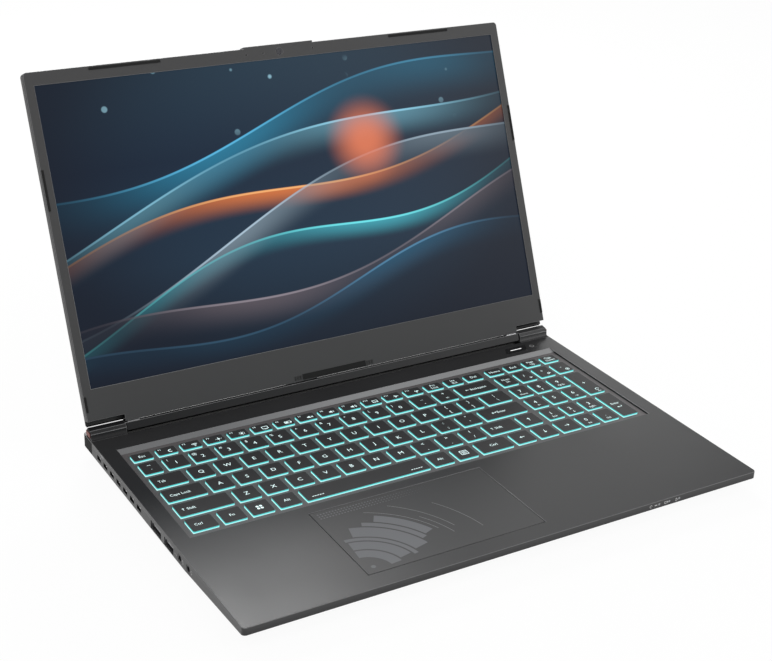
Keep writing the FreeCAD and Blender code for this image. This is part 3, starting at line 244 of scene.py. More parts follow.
def deck_paint():
    """The dark satin case. The slope behind the keys is painted lighter, and lighter still towards the right, as
    painted light; the walls below the top and the hinge trough are darkened as painted shade.
    """
    finish = moulded_plastic("deck_paint", (0.030, 0.030, 0.031), rough=0.38, level=0.5)
    cloud = finish.noise(26, 3.0)
    # painted light: the slope behind the keys is painted much lighter than the case
    painted_slope_light = finish.y.within(SLOPE_FRONT, SLOPE_BACK, 0.0001)
    painted_slope_light *= finish.z.within(DECK - SLOPE_DEEP, DECK - 0.00003, 0.00001)
    plain = finish.mix(cloud, (0.022, 0.022, 0.023), (0.028, 0.028, 0.029))
    # painted shade: the walls below the deck's top are painted darker
    wall = 1 - finish.z.rise(DECK - 0.0032, DECK - 0.0012)
    plain = finish.mix(wall, plain, (0.011, 0.011, 0.012))
    # painted light: the slope's colour grows lighter towards the right
    painted_light_to_right = finish.x.rise(-0.12, 0.02)
    slope = finish.mix(painted_light_to_right, (0.20, 0.20, 0.205), (0.31, 0.31, 0.315))
    # painted shade: the trough floor under the hinge barrel is painted nearly black
    trough = finish.y.rise(TROUGH_FRONT, TROUGH_FRONT + 0.0007)
    trough *= 1 - finish.z.rise(DECK - 0.0006, DECK - 0.0002)
    plain = finish.mix(trough, plain, (0.003, 0.003, 0.003))
    finish.set(Roughness=cloud * 0.1 + trough * 0.5 + 0.33)
    return finish.set(Base_Color=finish.mix(painted_slope_light, plain, slope))


def lid_paint():
    """Satin lid cover whose rim and lip are painted nearly black as painted shade."""
    finish = moulded_plastic("lid_plastic", (0.030, 0.030, 0.031), rough=0.42, level=0.5)
    out = (finish.z - HINGE.z) * LID_OUT.z + (finish.y - HINGE.y) * LID_OUT.y
    # painted shade: the rim and lip, in front of the back face, are painted nearly black
    rim = out.rise(-0.00338, -0.0030)
    return finish.set(Base_Color=finish.mix(rim, (0.030, 0.030, 0.031), (0.010, 0.010, 0.011)))


def hinge_paint():
    """Satin black of the barrel and the hinge covers, painted darker on the left and a little greyer towards the
    right as painted shade and light.
    """
    finish = moulded_plastic("hinge_plastic", (0.016, 0.016, 0.017), rough=0.48, level=0.35)
    # painted light and shade: darker on the left, greyer towards the right
    painted_light_to_right = finish.x.rise(-0.15, 0.16)
    return finish.set(Base_Color=finish.mix(painted_light_to_right, (0.008, 0.008, 0.009), (0.030, 0.030, 0.031)))


def bezel_paint():
    """Matt grey frame round the screen, its outer sides painted nearly black as painted shade."""
    grey = (0.054, 0.054, 0.055)
    finish = moulded_plastic("bezel_plastic", grey, rough=0.55, level=0.3)
    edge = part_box("display_bezel")[1].x
    # painted shade: the outer sides are painted nearly black
    side = finish.x.math("ABSOLUTE").rise(edge - 0.0002, edge)
    return finish.set(Base_Color=finish.mix(side, grey, (0.008, 0.008, 0.009)))


def keycap_plastic():
    """Dark key tops over clear skirts that the backlight shines through."""
    finish = moulded_plastic("keycap", (0.040, 0.040, 0.041), rough=0.5, level=0.3)
    skirt = 1 - finish.z.rise(DECK - 0.00026, DECK - 0.00018)
    low = finish.z.rise(FRAME_TOP, DECK - 0.0002)
    light = low.ramp((0.0, (0.62, 1.0, 1.0)), (0.4, (0.09, 0.86, 0.84)), (1.0, (0.03, 0.60, 0.60)))
    finish.set(Emission_Color=finish.mix(skirt, (0, 0, 0), light), Emission_Strength=1.0)
    return finish


def lit_ink(name, colour):
    finish = Finish(name)
    soft = finish.noise(900, 1.0)
    dim = tuple(part * 0.85 for part in colour)
    finish.set(Emission_Color=finish.mix(soft, dim, colour), Emission_Strength=1.0)
    return finish.set(Base_Color=colour)


def printed_ink(name, colour):
    finish = Finish(name)
    speck = finish.noise(3000, 2.0)
    dim = tuple(part * 0.8 for part in colour)
    return finish.set(Base_Color=finish.mix(speck, dim, colour), Roughness=0.6, Specular_IOR_Level=0.3)


def screen_glass():
    """The lit picture: folded ribbons of steel blue and orange over a dark blue field."""
    finish = Finish("screen_picture")
    across = finish.x / SCREEN_HALF
    up = (finish.y - HINGE.y) * LID_UP.y + (finish.z - HINGE.z) * LID_UP.z
    up = (up - SCREEN_FOOT) / SCREEN_TALL
    field = up.ramp(
        (0.0, (0.010, 0.022, 0.040)), (0.35, (0.014, 0.034, 0.062)),
        (0.7, (0.008, 0.020, 0.042)), (1.0, (0.016, 0.040, 0.066)),
    )
    # height, slope, wave size, wave number, start of the wave, depth of the fold, colour
    folds = (
        (0.80, 0.16, 0.060, 3.1, 0.4, 0.16, (0.02, 0.18, 0.30)),
        (0.66, 0.20, 0.085, 2.3, 1.9, 0.11, (0.10, 0.26, 0.34)),
        (0.56, 0.18, 0.070, 2.9, 3.3, 0.08, (0.62, 0.17, 0.05)),
        (0.47, 0.22, 0.090, 2.5, 0.9, 0.12, (0.16, 0.22, 0.27)),
        (0.36, 0.20, 0.075, 3.3, 2.6, 0.07, (0.05, 0.34, 0.42)),
        (0.27, 0.16, 0.080, 2.7, 4.4, 0.11, (0.13, 0.11, 0.13)),
        (0.17, 0.12, 0.060, 3.5, 5.6, 0.10, (0.02, 0.10, 0.18)),
    )
    picture = field
    for height, slope, swing, number, start, deep, colour in folds:
        edge = (across * number + start).math("SINE") * swing + across * slope + height
        below = edge - up
        sheen = (across * 4.3 + start * 2 + up * 3.0).math("SINE") * 0.35 + 0.65
        body = below.rise(-0.004, 0.002) * (1 - below.rise(0.0, deep)) * sheen
        rim = below.within(0.0, 0.004, 0.003) * sheen
        picture = finish.mix(body, picture, colour)
        bright = tuple(min(1.0, part * 2.6 + 0.06) for part in colour)
        picture = finish.mix(rim * 0.8, picture, bright)
    sparks = finish.cells(62)
    spots = (1 - sparks.rise(0.10, 0.16)) * up.rise(0.70, 0.9) * finish.noise(21, 1.0).rise(0.48, 0.6)
    picture = finish.mix(spots * 0.75, picture, (0.42, 0.78, 0.95))
    warm = finish.add("ShaderNodeVectorMath", {"operation": "DISTANCE"}, {
        0: finish.place, 1: on_lid(0.055, 0.158),
    }, out=1)
    picture = finish.mix((1 - warm.rise(0.004, 0.034)) * 0.8, picture, (0.85, 0.22, 0.10))
    sideways, upright = across.math("ABSOLUTE"), (up - 0.62).math("ABSOLUTE")
    towards_rim = (sideways * sideways * 0.75 + upright * upright * 1.7).rise(0.05, 0.95)
    picture = finish.mix(towards_rim * 0.86, picture, (0.007, 0.010, 0.019))
    finish.set(Base_Color=(0.003, 0.003, 0.004), Roughness=0.35, Specular_IOR_Level=0.12)
    return finish.set(Emission_Color=picture, Emission_Strength=1.0)


def circuit_board():
    finish = Finish("circuit_board")
    tracks = finish.add("ShaderNodeTexBrick", {"offset": 0.5}, {
        "Vector": finish.place, "Scale": 260.0, "Mortar Size": 0.05,
        "Color1": (0.008, 0.03, 0.026, 1), "Color2": (0.012, 0.04, 0.032, 1), "Mortar": (0.05, 0.10, 0.06, 1),
    })
    finish.set(Base_Color=tracks, Roughness=finish.noise(300) * 0.2 + 0.3)
    return finish.bump(finish.cells(500), 0.02 * MM)


def repaint(finish, *names):
    """Gives the finish to these CAD nodes."""
    for name in names:
        data = NODES[name].data
        if not data.materials:
            data.materials.append(finish.material)
        for slot in NODES[name].material_slots:
            slot.material = finish.material


# ---- building helpers --------------------------------------------------------------------------
def piece_from(work, name, finish, body, highlight_finish=None):
    """A piece from a bmesh, shaded smooth across shallow angles, riding on a body."""
    mesh = bpy.data.meshes.new(name)
    work.to_mesh(mesh)
    work.free()
    mesh.materials.append(finish.material)
    # the second finish is a painted highlight on the rounded edges
    if highlight_finish:
        mesh.materials.append(highlight_finish.material)
    mesh.shade_smooth()
    mesh.set_sharp_from_angle(angle=math.radians(SOFT_ANGLE))
    made = bpy.data.objects.new(name, mesh)
    SCENE.collection.objects.link(made)
    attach(made, body)
    return made


def merged(node):
    """A bmesh of a CAD node with its loose triangles joined."""
    work = bmesh.new()
    work.from_mesh(NODES[node].data)
    bmesh.ops.remove_doubles(work, verts=work.verts, dist=WELD * MM)
    return work


def eased(node, finish, width, where=None, highlight_finish=None):
    """A copy of a CAD node with its outer edges rounded over, which stands for the node; the rounded strips take
    the second finish, a painted highlight, when one is given.
    """
    work = merged(node)
    for face in work.faces:
        face.material_index = 0
    sharp = []
    for edge in work.edges:
        outer = edge.is_manifold and edge.calc_face_angle_signed() > OUTER_EDGE
        if outer and (where is None or where(edge)):
            sharp.append(edge)
    rounded = bmesh.ops.bevel(
        work, geom=sharp, offset=width * MM, segments=EDGE_STEPS, profile=0.5, affect="EDGES",
        clamp_overlap=False, loop_slide=False, miter_outer="SHARP", material=1 if highlight_finish else 0,
    )
    strips = set(rounded["faces"])
    work.edges.index_update()
    rims = {edge for face in strips for edge in face.edges}
    seams = [edge.index for edge in rims if not strips.issuperset(edge.link_faces)]
    made = piece_from(work, f"{node}_shell", finish, BODY_OF[node], highlight_finish=highlight_finish)
    for seam in seams:
        made.data.edges[seam].use_edge_sharp = True
    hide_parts(node)
    return made


def islands(node):
    """Boxes of a node's separate solids, rows from back to front, each from left to right."""
    work = merged(node)
    left = set(work.verts)
    boxes = []
    while left:
        group = [left.pop()]
        for vert in group:
            for edge in vert.link_edges:
                other = edge.other_vert(vert)
                if other in left:
                    left.remove(other)
                    group.append(other)
        points = [vert.co for vert in group]
        low = Vector([min(point[axis] for point in points) for axis in range(3)])
        high = Vector([max(point[axis] for point in points) for axis in range(3)])
        boxes.append((low, high))
    work.free()
    return sorted(boxes, key=lambda box: (-round((box[0].y + box[1].y) / (ROW_STEP * MM)), box[0].x))


class Ink:
    """Thin printed marks on a flat face.  Sizes are in millimetres from the given point."""

    letters = {}

    def __init__(self, origin, right, up, lift=MARK_LIFT):
        self.work = bmesh.new()
        self.origin = origin + right.cross(up) * lift * MM
        self.right = right
        self.up = up

    def point(self, x, y):
        return self.work.verts.new(self.origin + (self.right * x + self.up * y) * MM)

    def patch(self, *points):
        """One face through the points, which run anticlockwise."""
        self.work.faces.new([self.point(x, y) for x, y in points])

    def bar(self, x, y, wide, tall, lean=0.0):
        half, rise = wide / 2, tall / 2
        self.patch(
            (x - half - lean, y - rise), (x + half - lean, y - rise),
            (x + half + lean, y + rise), (x - half + lean, y + rise),
        )

    def line(self, points, wide):
        """A stroke of even width through the points."""
        for (ax, ay), (bx, by) in zip(points, points[1:]):
            away = Vector((ay - by, bx - ax)).normalized() * wide / 2
            self.patch(
                (ax - away.x, ay - away.y), (bx - away.x, by - away.y),
                (bx + away.x, by + away.y), (ax + away.x, ay + away.y),
            )

    def arc(self, x, y, radius, wide, start=0, turn=360, steps=18):
        points = []
        for step in range(steps + 1):
            angle = math.radians(start + turn * step / steps)
            points.append((x + radius * math.cos(angle), y + radius * math.sin(angle)))
        self.line(points, wide)

    def band(self, x, y, inner, outer, start, turn, steps=20):
        """Part of a flat ring."""
        angles = [math.radians(start + turn * step / steps) for step in range(steps + 1)]
        near, far = (
            [(x + radius * math.cos(angle), y + radius * math.sin(angle)) for angle in angles]
            for radius in (inner, outer)
        )
        for step in range(steps):
            self.patch(near[step], far[step], far[step + 1], near[step + 1])

    def disc(self, x, y, radius, steps=12):
        turns = [math.tau * step / steps for step in range(steps)]
        self.patch(*[(x + radius * math.cos(turn), y + radius * math.sin(turn)) for turn in turns])

    def frame(self, x, y, wide, tall, stroke):
        half, rise = wide / 2, tall / 2
        corners = [(x - half, y - rise), (x + half, y - rise), (x + half, y + rise), (x - half, y + rise)]
        self.line(corners + corners[:1], stroke)

    def arrow(self, x, y, size, turn):
        """An arrow that points right, turned by so many degrees."""
        angle = math.radians(turn)
        for points in (((-1, 0), (1, 0)), ((0.3, 0.6), (1, 0), (0.3, -0.6))):
            spun = []
            for px, py in points:
                spun.append((
                    x + size * (px * math.cos(angle) - py * math.sin(angle)),
                    y + size * (px * math.sin(angle) + py * math.cos(angle)),
                ))
            self.line(spun, size * 0.24)

    def words(self, text, x, y, tall, align="CENTER", stretch=1.0):
        """Text with capitals of that height, centred up and down on y."""
        if (text, align) not in Ink.letters:
            curve = bpy.data.curves.new("words", "FONT")
            curve.body = text
            curve.align_x = align
            curve.resolution_u = 2
            holder = bpy.data.objects.new("words", curve)
            SCENE.collection.objects.link(holder)
            mesh = bpy.data.meshes.new_from_object(holder)
            points = [vert.co.copy() for vert in mesh.vertices]
            Ink.letters[text, align] = (points, [tuple(face.vertices) for face in mesh.polygons])
            bpy.data.objects.remove(holder)
            bpy.data.curves.remove(curve)
            bpy.data.meshes.remove(mesh)
        points, faces = Ink.letters[text, align]
        size = tall / 0.70
        verts = [self.point(x + spot.x * size * stretch, y + spot.y * size - tall / 2) for spot in points]
        for face in faces:
            self.work.faces.new([verts[index] for index in face])

    def finish(self, name, finish, body, slot):
        return piece_from(self.work, name, finish, body)


# ---- finishes ----------------------------------------------------------------------------------
DECK_PAINT = deck_paint()
LID_PLASTIC = lid_paint()
BEZEL_PLASTIC = bezel_paint()
HINGE_PLASTIC = hinge_paint()
# painted highlight: a lighter finish for rounded edges of the case, bezel and hinge covers
PAINTED_EDGE_HIGHLIGHT = moulded_plastic("painted_edge_highlight", (0.14, 0.14, 0.143), rough=0.35, level=0.5)
# painted highlight: a brighter finish for the barrel's top edge
PAINTED_BRIGHT_EDGE = moulded_plastic("painted_bright_edge", (0.24, 0.24, 0.245), rough=0.35, level=0.5)
# painted highlight: a light teal finish for the rounded edges of the key tops
PAINTED_KEY_EDGE = moulded_plastic("painted_key_edge", (0.20, 0.27, 0.27), rough=0.45, level=0.4)
COVER_PLASTIC = moulded_plastic("cover_plastic", (0.026, 0.026, 0.027), rough=0.5, level=0.35)
# grey plastic, lightened to stand for the backlight's glow spilling on it: partly painted light
FRAME_PLASTIC_AND_GLOW = moulded_plastic("frame_plastic", (0.125, 0.115, 0.117), rough=0.5, level=0.35)
KEYCAP = keycap_plastic()
LEGEND = lit_ink("legend_ink", (0.58, 0.73, 0.73))
WHITE_LIGHT = lit_ink("white_light", (1.0, 1.0, 1.0))
STATUS_INK = printed_ink("status_ink", (0.62, 0.62, 0.62))
ICON_INK = printed_ink("icon_ink", (0.52, 0.52, 0.52))
PAD_INK = printed_ink("pad_ink", (0.175, 0.18, 0.19))
PAD_LINE = printed_ink("pad_line", (0.30, 0.30, 0.305))
RIB_RUBBER = moulded_plastic("rib_rubber", (0.030, 0.030, 0.030), rough=0.6, level=0.3)
GOLD = brushed_metal("gold", (0.90, 0.62, 0.22), rough=0.25)
SCREEN = screen_glass()
TOUCH = moulded_plastic("touch_surface", (0.036, 0.036, 0.037), rough=0.42, level=0.5, grain=0.003)
RUBBER = moulded_plastic("rubber", (0.012, 0.012, 0.012), rough=0.8, level=0.25, grain=0.02)
STEEL = brushed_metal("steel", (0.42, 0.42, 0.43))
SCREW_STEEL = brushed_metal("screw_steel", (0.09, 0.09, 0.095), rough=0.4)
COPPER = brushed_metal("copper", (0.72, 0.34, 0.20), rough=0.3)
ALUMINIUM = brushed_metal("aluminium", (0.16, 0.16, 0.165), rough=0.5)
BLACK_PLASTIC = moulded_plastic("black_plastic", (0.010, 0.010, 0.011), rough=0.4, level=0.4)
CHIP = moulded_plastic("chip_resin", (0.016, 0.016, 0.017), rough=0.35, level=0.5)
BATTERY = moulded_plastic("battery_wrap", (0.022, 0.022, 0.024), rough=0.32, level=0.5, grain=0.02)
ACCENT = moulded_plastic("accent_orange", (0.17, 0.020, 0.007), rough=0.4, level=0.4)
CLEAR = moulded_plastic("clear_guide", (0.30, 0.31, 0.32), rough=0.2, level=0.5)
LENS = moulded_plastic("lens_glass", (0.012, 0.012, 0.018), rough=0.12, level=0.8)
BOARD = circuit_board()

repaint(DECK_PAINT, "top_case")
repaint(COVER_PLASTIC, "bottom_cover")
repaint(LID_PLASTIC, "lid_cover")
repaint(BEZEL_PLASTIC, "display_bezel")
repaint(HINGE_PLASTIC, "hinge_barrel", "hinge_cover_left", "hinge_cover_right")
repaint(FRAME_PLASTIC_AND_GLOW, "keyboard_frame")
repaint(SCREEN, "display_panel")
repaint(TOUCH, "touchpad")
repaint(RUBBER, "rubber_feet", "bezel_bumpers", "dome_sheet")
repaint(STEEL, "hinge_bracket_left", "hinge_bracket_right", "lid_hinge_arm_left", "lid_hinge_arm_right")
repaint(STEEL, "keyboard_plate", "touchpad_bracket", "usb_ports", "video_port")
repaint(SCREW_STEEL, "cover_screws")
repaint(COPPER, "heat_pipes", "heat_spreader")
repaint(ALUMINIUM, "fin_stack_left", "fin_stack_right")
repaint(BLACK_PLASTIC, "fan_housing_left", "fan_housing_right", "fan_rotor_left", "fan_rotor_right")
repaint(BLACK_PLASTIC, "speaker_left", "speaker_right", "audio_jacks", "power_jack", "power_button")
repaint(BOARD, "mainboard", "memory_modules", "solid_state_drive", "wireless_card")
repaint(CHIP, "board_chips", "display_cable")
repaint(BATTERY, "battery_pack")
repaint(ACCENT, "accent_inserts")
repaint(CLEAR, "status_lights")
repaint(LENS, "camera_module")


# ---- case, lid and hinge covers with eased edges -------------------------------------------------
def deck_rim(edge):
    """Edges of the deck's top face, apart from the hinge trough."""
    return all(
        vert.co.z > DECK - 0.00002 and (vert.co.y < HINGE.y - 0.012 or abs(vert.co.x) > TROUGH_HALF)
        for vert in edge.verts
    )


def barrel_top(edge):
    """The barrel's upper front edge, which gets a painted highlight."""
    return all(vert.co.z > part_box("hinge_barrel")[1].z - 0.002 for vert in edge.verts)


# the rounded edges below get painted highlights
eased("top_case", DECK_PAINT, 0.3, deck_rim, highlight_finish=PAINTED_EDGE_HIGHLIGHT)
eased("display_bezel", BEZEL_PLASTIC, 0.25, highlight_finish=PAINTED_EDGE_HIGHLIGHT)
eased("lid_cover", LID_PLASTIC, 0.3)
eased("hinge_barrel", HINGE_PLASTIC, 0.2, barrel_top, highlight_finish=PAINTED_BRIGHT_EDGE)
for side in ("left", "right"):
    eased(f"hinge_cover_{side}", HINGE_PLASTIC, 0.25, highlight_finish=PAINTED_EDGE_HIGHLIGHT)
eased("touchpad", TOUCH, 0.15)


# ---- keys ----------------------------------------------------------------------------------------
# Each of these draws one legend.  It takes the ink, the key's middle and width, and the text to draw.
def single(ink, x, y, wide, text):
    ink.words(text, x, y, 3.4)


def word_left(ink, x, y, wide, text):
    ink.words(text, x - wide / 2 + 3.4, y - 0.3, 2.5, "LEFT", stretch=0.88)


def digit(ink, x, y, wide, text):
    ink.words(text[0], x, y - 0.6, 3.4)
    ink.words(text[1], x - 4.4, y + 3.5, 2.4)


def pair(ink, x, y, wide, text):
    ink.words(text[0], x, y + 3.3, 2.9)
    ink.words(text[1], x, y - 3.2, 2.9)


def stacked(ink, x, y, wide, text):
    upper, lower = text.split("/")
    ink.words(upper, x, y + 1.7, 2.3, stretch=0.95)
    ink.words(lower, x, y - 1.7, 2.3, stretch=0.95)


def numbered(ink, x, y, wide, text):
    """Number pad key: a figure and its second meaning beneath."""
    figure, word = text[0], text[1:]
    ink.words(figure, x - 0.7, y + 0.6, 3.3)
    turns = {"<": 180, ">": 0, "^": 90, "v": 270}
    if word in turns:
        ink.arrow(x - 0.5, y - 4.2, 1.1, turns[word])
    elif word:
        ink.words(word, x - 0.7, y - 4.2, 1.9, stretch=0.9)


def function(ink, x, y, wide, text):
    """Function key: its number, and a small picture of what it does."""
    name, picture = text.split()
    ink.words(name, x - wide / 2 + 1.5, y + 2.3, 1.6, "LEFT")
    px, py = x + 2.4, y - 1.0
    if picture == "screen":
        ink.frame(px, py + 0.3, 4.0, 2.8, 0.45)
        ink.bar(px, py - 1.7, 2.2, 0.4)
    elif picture == "battery":
        ink.frame(px, py, 4.2, 2.4, 0.45)
        ink.bar(px - 0.6, py, 2.0, 1.4)
        ink.bar(px + 2.5, py, 0.6, 1.1)
    elif picture in ("dim", "bright"):
        ink.disc(px, py, 0.9)
        rays = 8 if picture == "bright" else 4
        for index in range(rays):
            turn = math.tau * index / rays
            near, far = 1.4, 2.1
            ink.line([
                (px + near * math.cos(turn), py + near * math.sin(turn)),
                (px + far * math.cos(turn), py + far * math.sin(turn)),
            ], 0.4)
    elif picture in ("mute", "quiet", "loud"):
        ink.patch((px - 2, py - 0.7), (px - 1.1, py - 0.7), (px - 1.1, py + 0.7), (px - 2, py + 0.7))
        ink.patch((px - 1.1, py - 0.7), (px + 0.1, py - 1.5), (px + 0.1, py + 1.5), (px - 1.1, py + 0.7))
        if picture == "mute":
            ink.line([(px + 0.8, py - 0.8), (px + 2.2, py + 0.8)], 0.4)
            ink.line([(px + 0.8, py + 0.8), (px + 2.2, py - 0.8)], 0.4)
        for radius in {"quiet": (1.1,), "loud": (1.1, 1.9)}.get(picture, ()):
            ink.arc(px + 0.2, py, radius, 0.4, -50, 100, 6)
    elif picture == "waves":
        ink.disc(px, py - 1.4, 0.45, 8)
        for radius in (1.2, 2.1, 3.0):
            ink.arc(px, py - 1.4, radius, 0.42, 50, 80, 6)
    elif picture == "pad":
        ink.frame(px, py, 3.6, 2.8, 0.4)
        ink.bar(px, py - 0.6, 3.4, 0.35)
    elif picture == "moon":
        ink.arc(px, py, 1.4, 0.6, 60, 240, 12)
    elif picture == "fan":
        for turn in (0, 120, 240):
            angle = math.radians(turn)
            ink.arc(px + 0.8 * math.cos(angle), py + 0.8 * math.sin(angle), 0.7, 0.5, turn, 200, 6)
    elif picture == "plane":
        ink.line([(px - 1.8, py), (px + 1.8, py)], 0.5)
        ink.line([(px - 0.9, py + 1.6), (px + 0.4, py), (px - 0.9, py - 1.6)], 0.5)


def arrow_word(ink, x, y, wide, text):
    """An arrow and then a word."""
    turn, word, place = text.split()
    start = x - wide / 2 + 4.4 if place == "left" else x - 7.0
    ink.arrow(start, y - 0.1, 1.2, int(turn))
    ink.words(word, start + 2.2, y - 0.2, 2.5, "LEFT", stretch=0.88)


def arrow_only(ink, x, y, wide, text):
    ink.arrow(x, y, 1.7, int(text))


def mark(ink, x, y, wide, text):
    """A generic start mark of four dots, or a small list."""
    if text == "start":
        for dx in (-1.15, 1.15):
            for dy in (-1.15, 1.15):
                ink.disc(x + dx, y + dy, 0.95, 10)
    else:
        ink.frame(x, y, 5.0, 4.6, 0.45)
        for row in (-1.1, 0.0, 1.1):
            ink.bar(x, y + row, 3.0, 0.45)


def dashes(ink, x, y, wide, text):
    for side in (-1, 1):
        for step in range(5):
            ink.bar(x + side * (wide / 2 - 8.5) + (step - 2) * 1.7, y - 3.6, 1.25, 0.55, lean=0.3)


def tall_plus(ink, x, y, wide, text):
    ink.words("+", x - 0.5, y, 3.4)
    ink.arc(x + 2.4, y - 11.6, 1.3, 0.4, 0, 300, 10)
    ink.bar(x + 2.4, y - 14.6, 2.6, 0.4)


def tall_enter(ink, x, y, wide, text):
    ink.words("Enter", x - 0.3, y + 1.4, 2.4, stretch=0.88)
    ink.line([(x + 1.8, y - 2.6), (x + 1.8, y - 3.9), (x - 1.6, y - 3.9)], 0.4)
    ink.line([(x - 0.8, y - 3.1), (x - 1.6, y - 3.9), (x - 0.8, y - 4.7)], 0.4)


def operator(ink, x, y, wide, text):
    """Number pad operator with a small picture in its corner."""
    ink.words(text[0], x - 0.6, y + 0.7, 3.0)
    ink.disc(x + 2.6, y - 3.8, 0.55, 8)
    ink.arc(x + 2.6, y - 3.8, 1.3, 0.4, 0, {"/": 120, "*": 240, "-": 360}[text[0]], 10)


def enter_word(ink, x, y, wide, text):
    ink.line([(x - 5.2, y + 1.2), (x - 5.2, y), (x - 8.2, y)], 0.4)
    ink.line([(x - 7.4, y + 0.8), (x - 8.2, y), (x - 7.4, y - 0.8)], 0.4)
    ink.words("Enter", x - 4.4, y, 2.5, "LEFT", stretch=0.88)


LEGENDS = {
    "escape_key": [(single, "Esc")],
    "function_keys": [(function, text) for text in (
        "F1 moon", "F2 waves", "F3 dim", "F4 bright", "F5 screen", "F6 battery", "F7 mute",
        "F8 quiet", "F9 loud", "F10 pad", "F11 plane", "F12 fan",
    )] + [(stacked, "Prt/ScLk"), (stacked, "Ins/SLk"), (single, "Del")],
    "navigation_keys": [(single, "Home"), (single, "End"), (stacked, "Page/Up"), (stacked, "Page/Down")],
    "number_row_keys": [(pair, "~`")] + [
        (digit, text) for text in ("1!", "2@", "3#", "4$", "5%", "6^", "7&", "8*", "9(", "0)")
    ] + [(pair, "_-"), (pair, "+=")],
    "backspace_key": [(arrow_word, "180 Backspace middle")],
    "tab_row_keys": [(word_left, "Tab")] + [(single, letter) for letter in "QWERTYUIOP"] + [
        (pair, "{["), (pair, "}]"), (pair, "|\\"),
    ],
    "home_row_keys": [(word_left, "Caps Lock")] + [(single, letter) for letter in "ASDFGHJKL"] + [
        (pair, ":;"), (pair, "\"'"),
    ],
    "enter_key": [(enter_word, "")],
    "bottom_letter_keys": [(single, letter) for letter in "ZXCVBNM"] + [
        (pair, "<,"), (pair, ">."), (pair, "?/"),
    ],
    "shift_keys": [(arrow_word, "90 Shift left"), (arrow_word, "90 Shift middle")],
    "modifier_keys": [
        (word_left, "Ctrl"), (single, "Fn"), (mark, "start"), (single, "Alt"), (single, "Alt"),
        (mark, "list"), (single, "Ctrl"),
    ],
    "space_bar": [(dashes, "")],
    "arrow_keys": [(arrow_only, "90"), (arrow_only, "180"), (arrow_only, "270"), (arrow_only, "0")],
    "numpad_keys": [
        (stacked, "Num/Lk"), (operator, "/"), (operator, "*"), (operator, "-"),
        (numbered, "7Home"), (numbered, "8^"), (numbered, "9PgUp"),
        (numbered, "4<"), (numbered, "5"), (numbered, "6>"),
        (numbered, "1End"), (numbered, "2v"), (numbered, "3PgDn"), (numbered, "0Ins"), (numbered, ".Del"),
    ],
    "numpad_tall_keys": [(tall_plus, ""), (tall_enter, "")],
}
SMALL_WORDS = {"Esc", "Home", "End", "Del", "Fn", "Alt", "Ctrl"}


def key_top_edge(edge):
    return all(vert.co.z > DECK - 0.00005 for vert in edge.verts)


def dress_keys(group, legends):
    """Eased caps for one group of keys, and the lit legends on their tops."""
    # the rounded top edges take the teal painted highlight
    eased(group, KEYCAP, KEY_EDGE_WIDTH, key_top_edge, highlight_finish=PAINTED_KEY_EDGE)
    ink = Ink(Vector((0, 0, DECK)), RIGHT, BACK, lift=PRINT_LIFT)
    boxes = islands(group)
    for (low, high), (draw, text) in zip(boxes, legends, strict=True):
        x, y = (low.x + high.x) / 2 / MM, (low.y + high.y) / 2 / MM
        wide = (high.x - low.x) / MM
        if draw is single and text in SMALL_WORDS:
            ink.words(text, x, y, 2.6, stretch=0.95)
        else:
            draw(ink, x, y, wide, text)
    ink.finish(f"{group}_legends", LEGEND, BODY_OF[group], "keycap")


for group, legends in LEGENDS.items():
    dress_keys(group, legends)


# ---- patterns that repeat ------------------------------------------------------------------------
class Pattern:
    """A Geometry Nodes tree that puts one small shape at many places.  Its sizes are named inputs."""

    kinds = {float: "NodeSocketFloat", int: "NodeSocketInt", tuple: "NodeSocketVector"}

    def __init__(self, name, **sizes):
        self.tree = bpy.data.node_groups.new(name, "GeometryNodeTree")
        self.name = name
        self.sizes = sizes
        face = self.tree.interface
        face.new_socket("Geometry", in_out="INPUT", socket_type="NodeSocketGeometry")
        for label, value in sizes.items():
            face.new_socket(label, in_out="INPUT", socket_type=self.kinds[type(value)])
        face.new_socket("Geometry", in_out="OUTPUT", socket_type="NodeSocketGeometry")
        self.given = self.tree.nodes.new("NodeGroupInput").outputs
        self.result = self.tree.nodes.new("NodeGroupOutput").inputs[0]

    def add(self, kind, sockets, **settings):
        node = self.tree.nodes.new(kind)
        for name, setting in settings.items():
            setattr(node, name, setting)
        for name, value in sockets.items():
            if isinstance(value, bpy.types.NodeSocket):
                self.tree.links.new(value, node.inputs[name])
            else:
                node.inputs[name].default_value = value
        return node.outputs[0]

    def cube_row(self, finish, cube):
        """A row of equal blocks, from the inputs Count, Start and Step and the one named."""
        row = self.add("GeometryNodeMeshLine", {
            "Count": self.given["Count"],
            "Start Location": self.given["Start"],
            "Offset": self.given["Step"],
        })
        self.repeat(row, self.add("GeometryNodeMeshCube", {"Size": self.given[cube]}), finish)

    def repeat(self, points, shape, finish, scale=(1.0, 1.0, 1.0)):
        """The shape at every point, made real, in one material."""
        places = {"Points": points, "Instance": shape, "Scale": scale}
        copies = self.add("GeometryNodeInstanceOnPoints", places)
        solid = self.add("GeometryNodeRealizeInstances", {"Geometry": copies})
        painted = self.add("GeometryNodeSetMaterial", {"Geometry": solid, "Material": finish.material})
        self.tree.links.new(painted, self.result)

    def bake(self, place, body, points=()):
        """The pattern as a plain mesh, carried to its place."""
        start = bpy.data.meshes.new(self.name)
        start.from_pydata([tuple(point) for point in points], [], [])
        made = bpy.data.objects.new(self.name, start)
        SCENE.collection.objects.link(made)
        modifier = made.modifiers.new(self.name, "NODES")
        modifier.node_group = self.tree
        for item in self.tree.interface.items_tree:
            if item.in_out == "INPUT" and item.name in self.sizes:
                modifier[item.identifier] = self.sizes[item.name]
        shown = made.evaluated_get(bpy.context.evaluated_depsgraph_get())
        mesh = bpy.data.meshes.new_from_object(shown)
        made.modifiers.clear()
        mesh.transform(place)
        made.data = mesh
        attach(made, body)


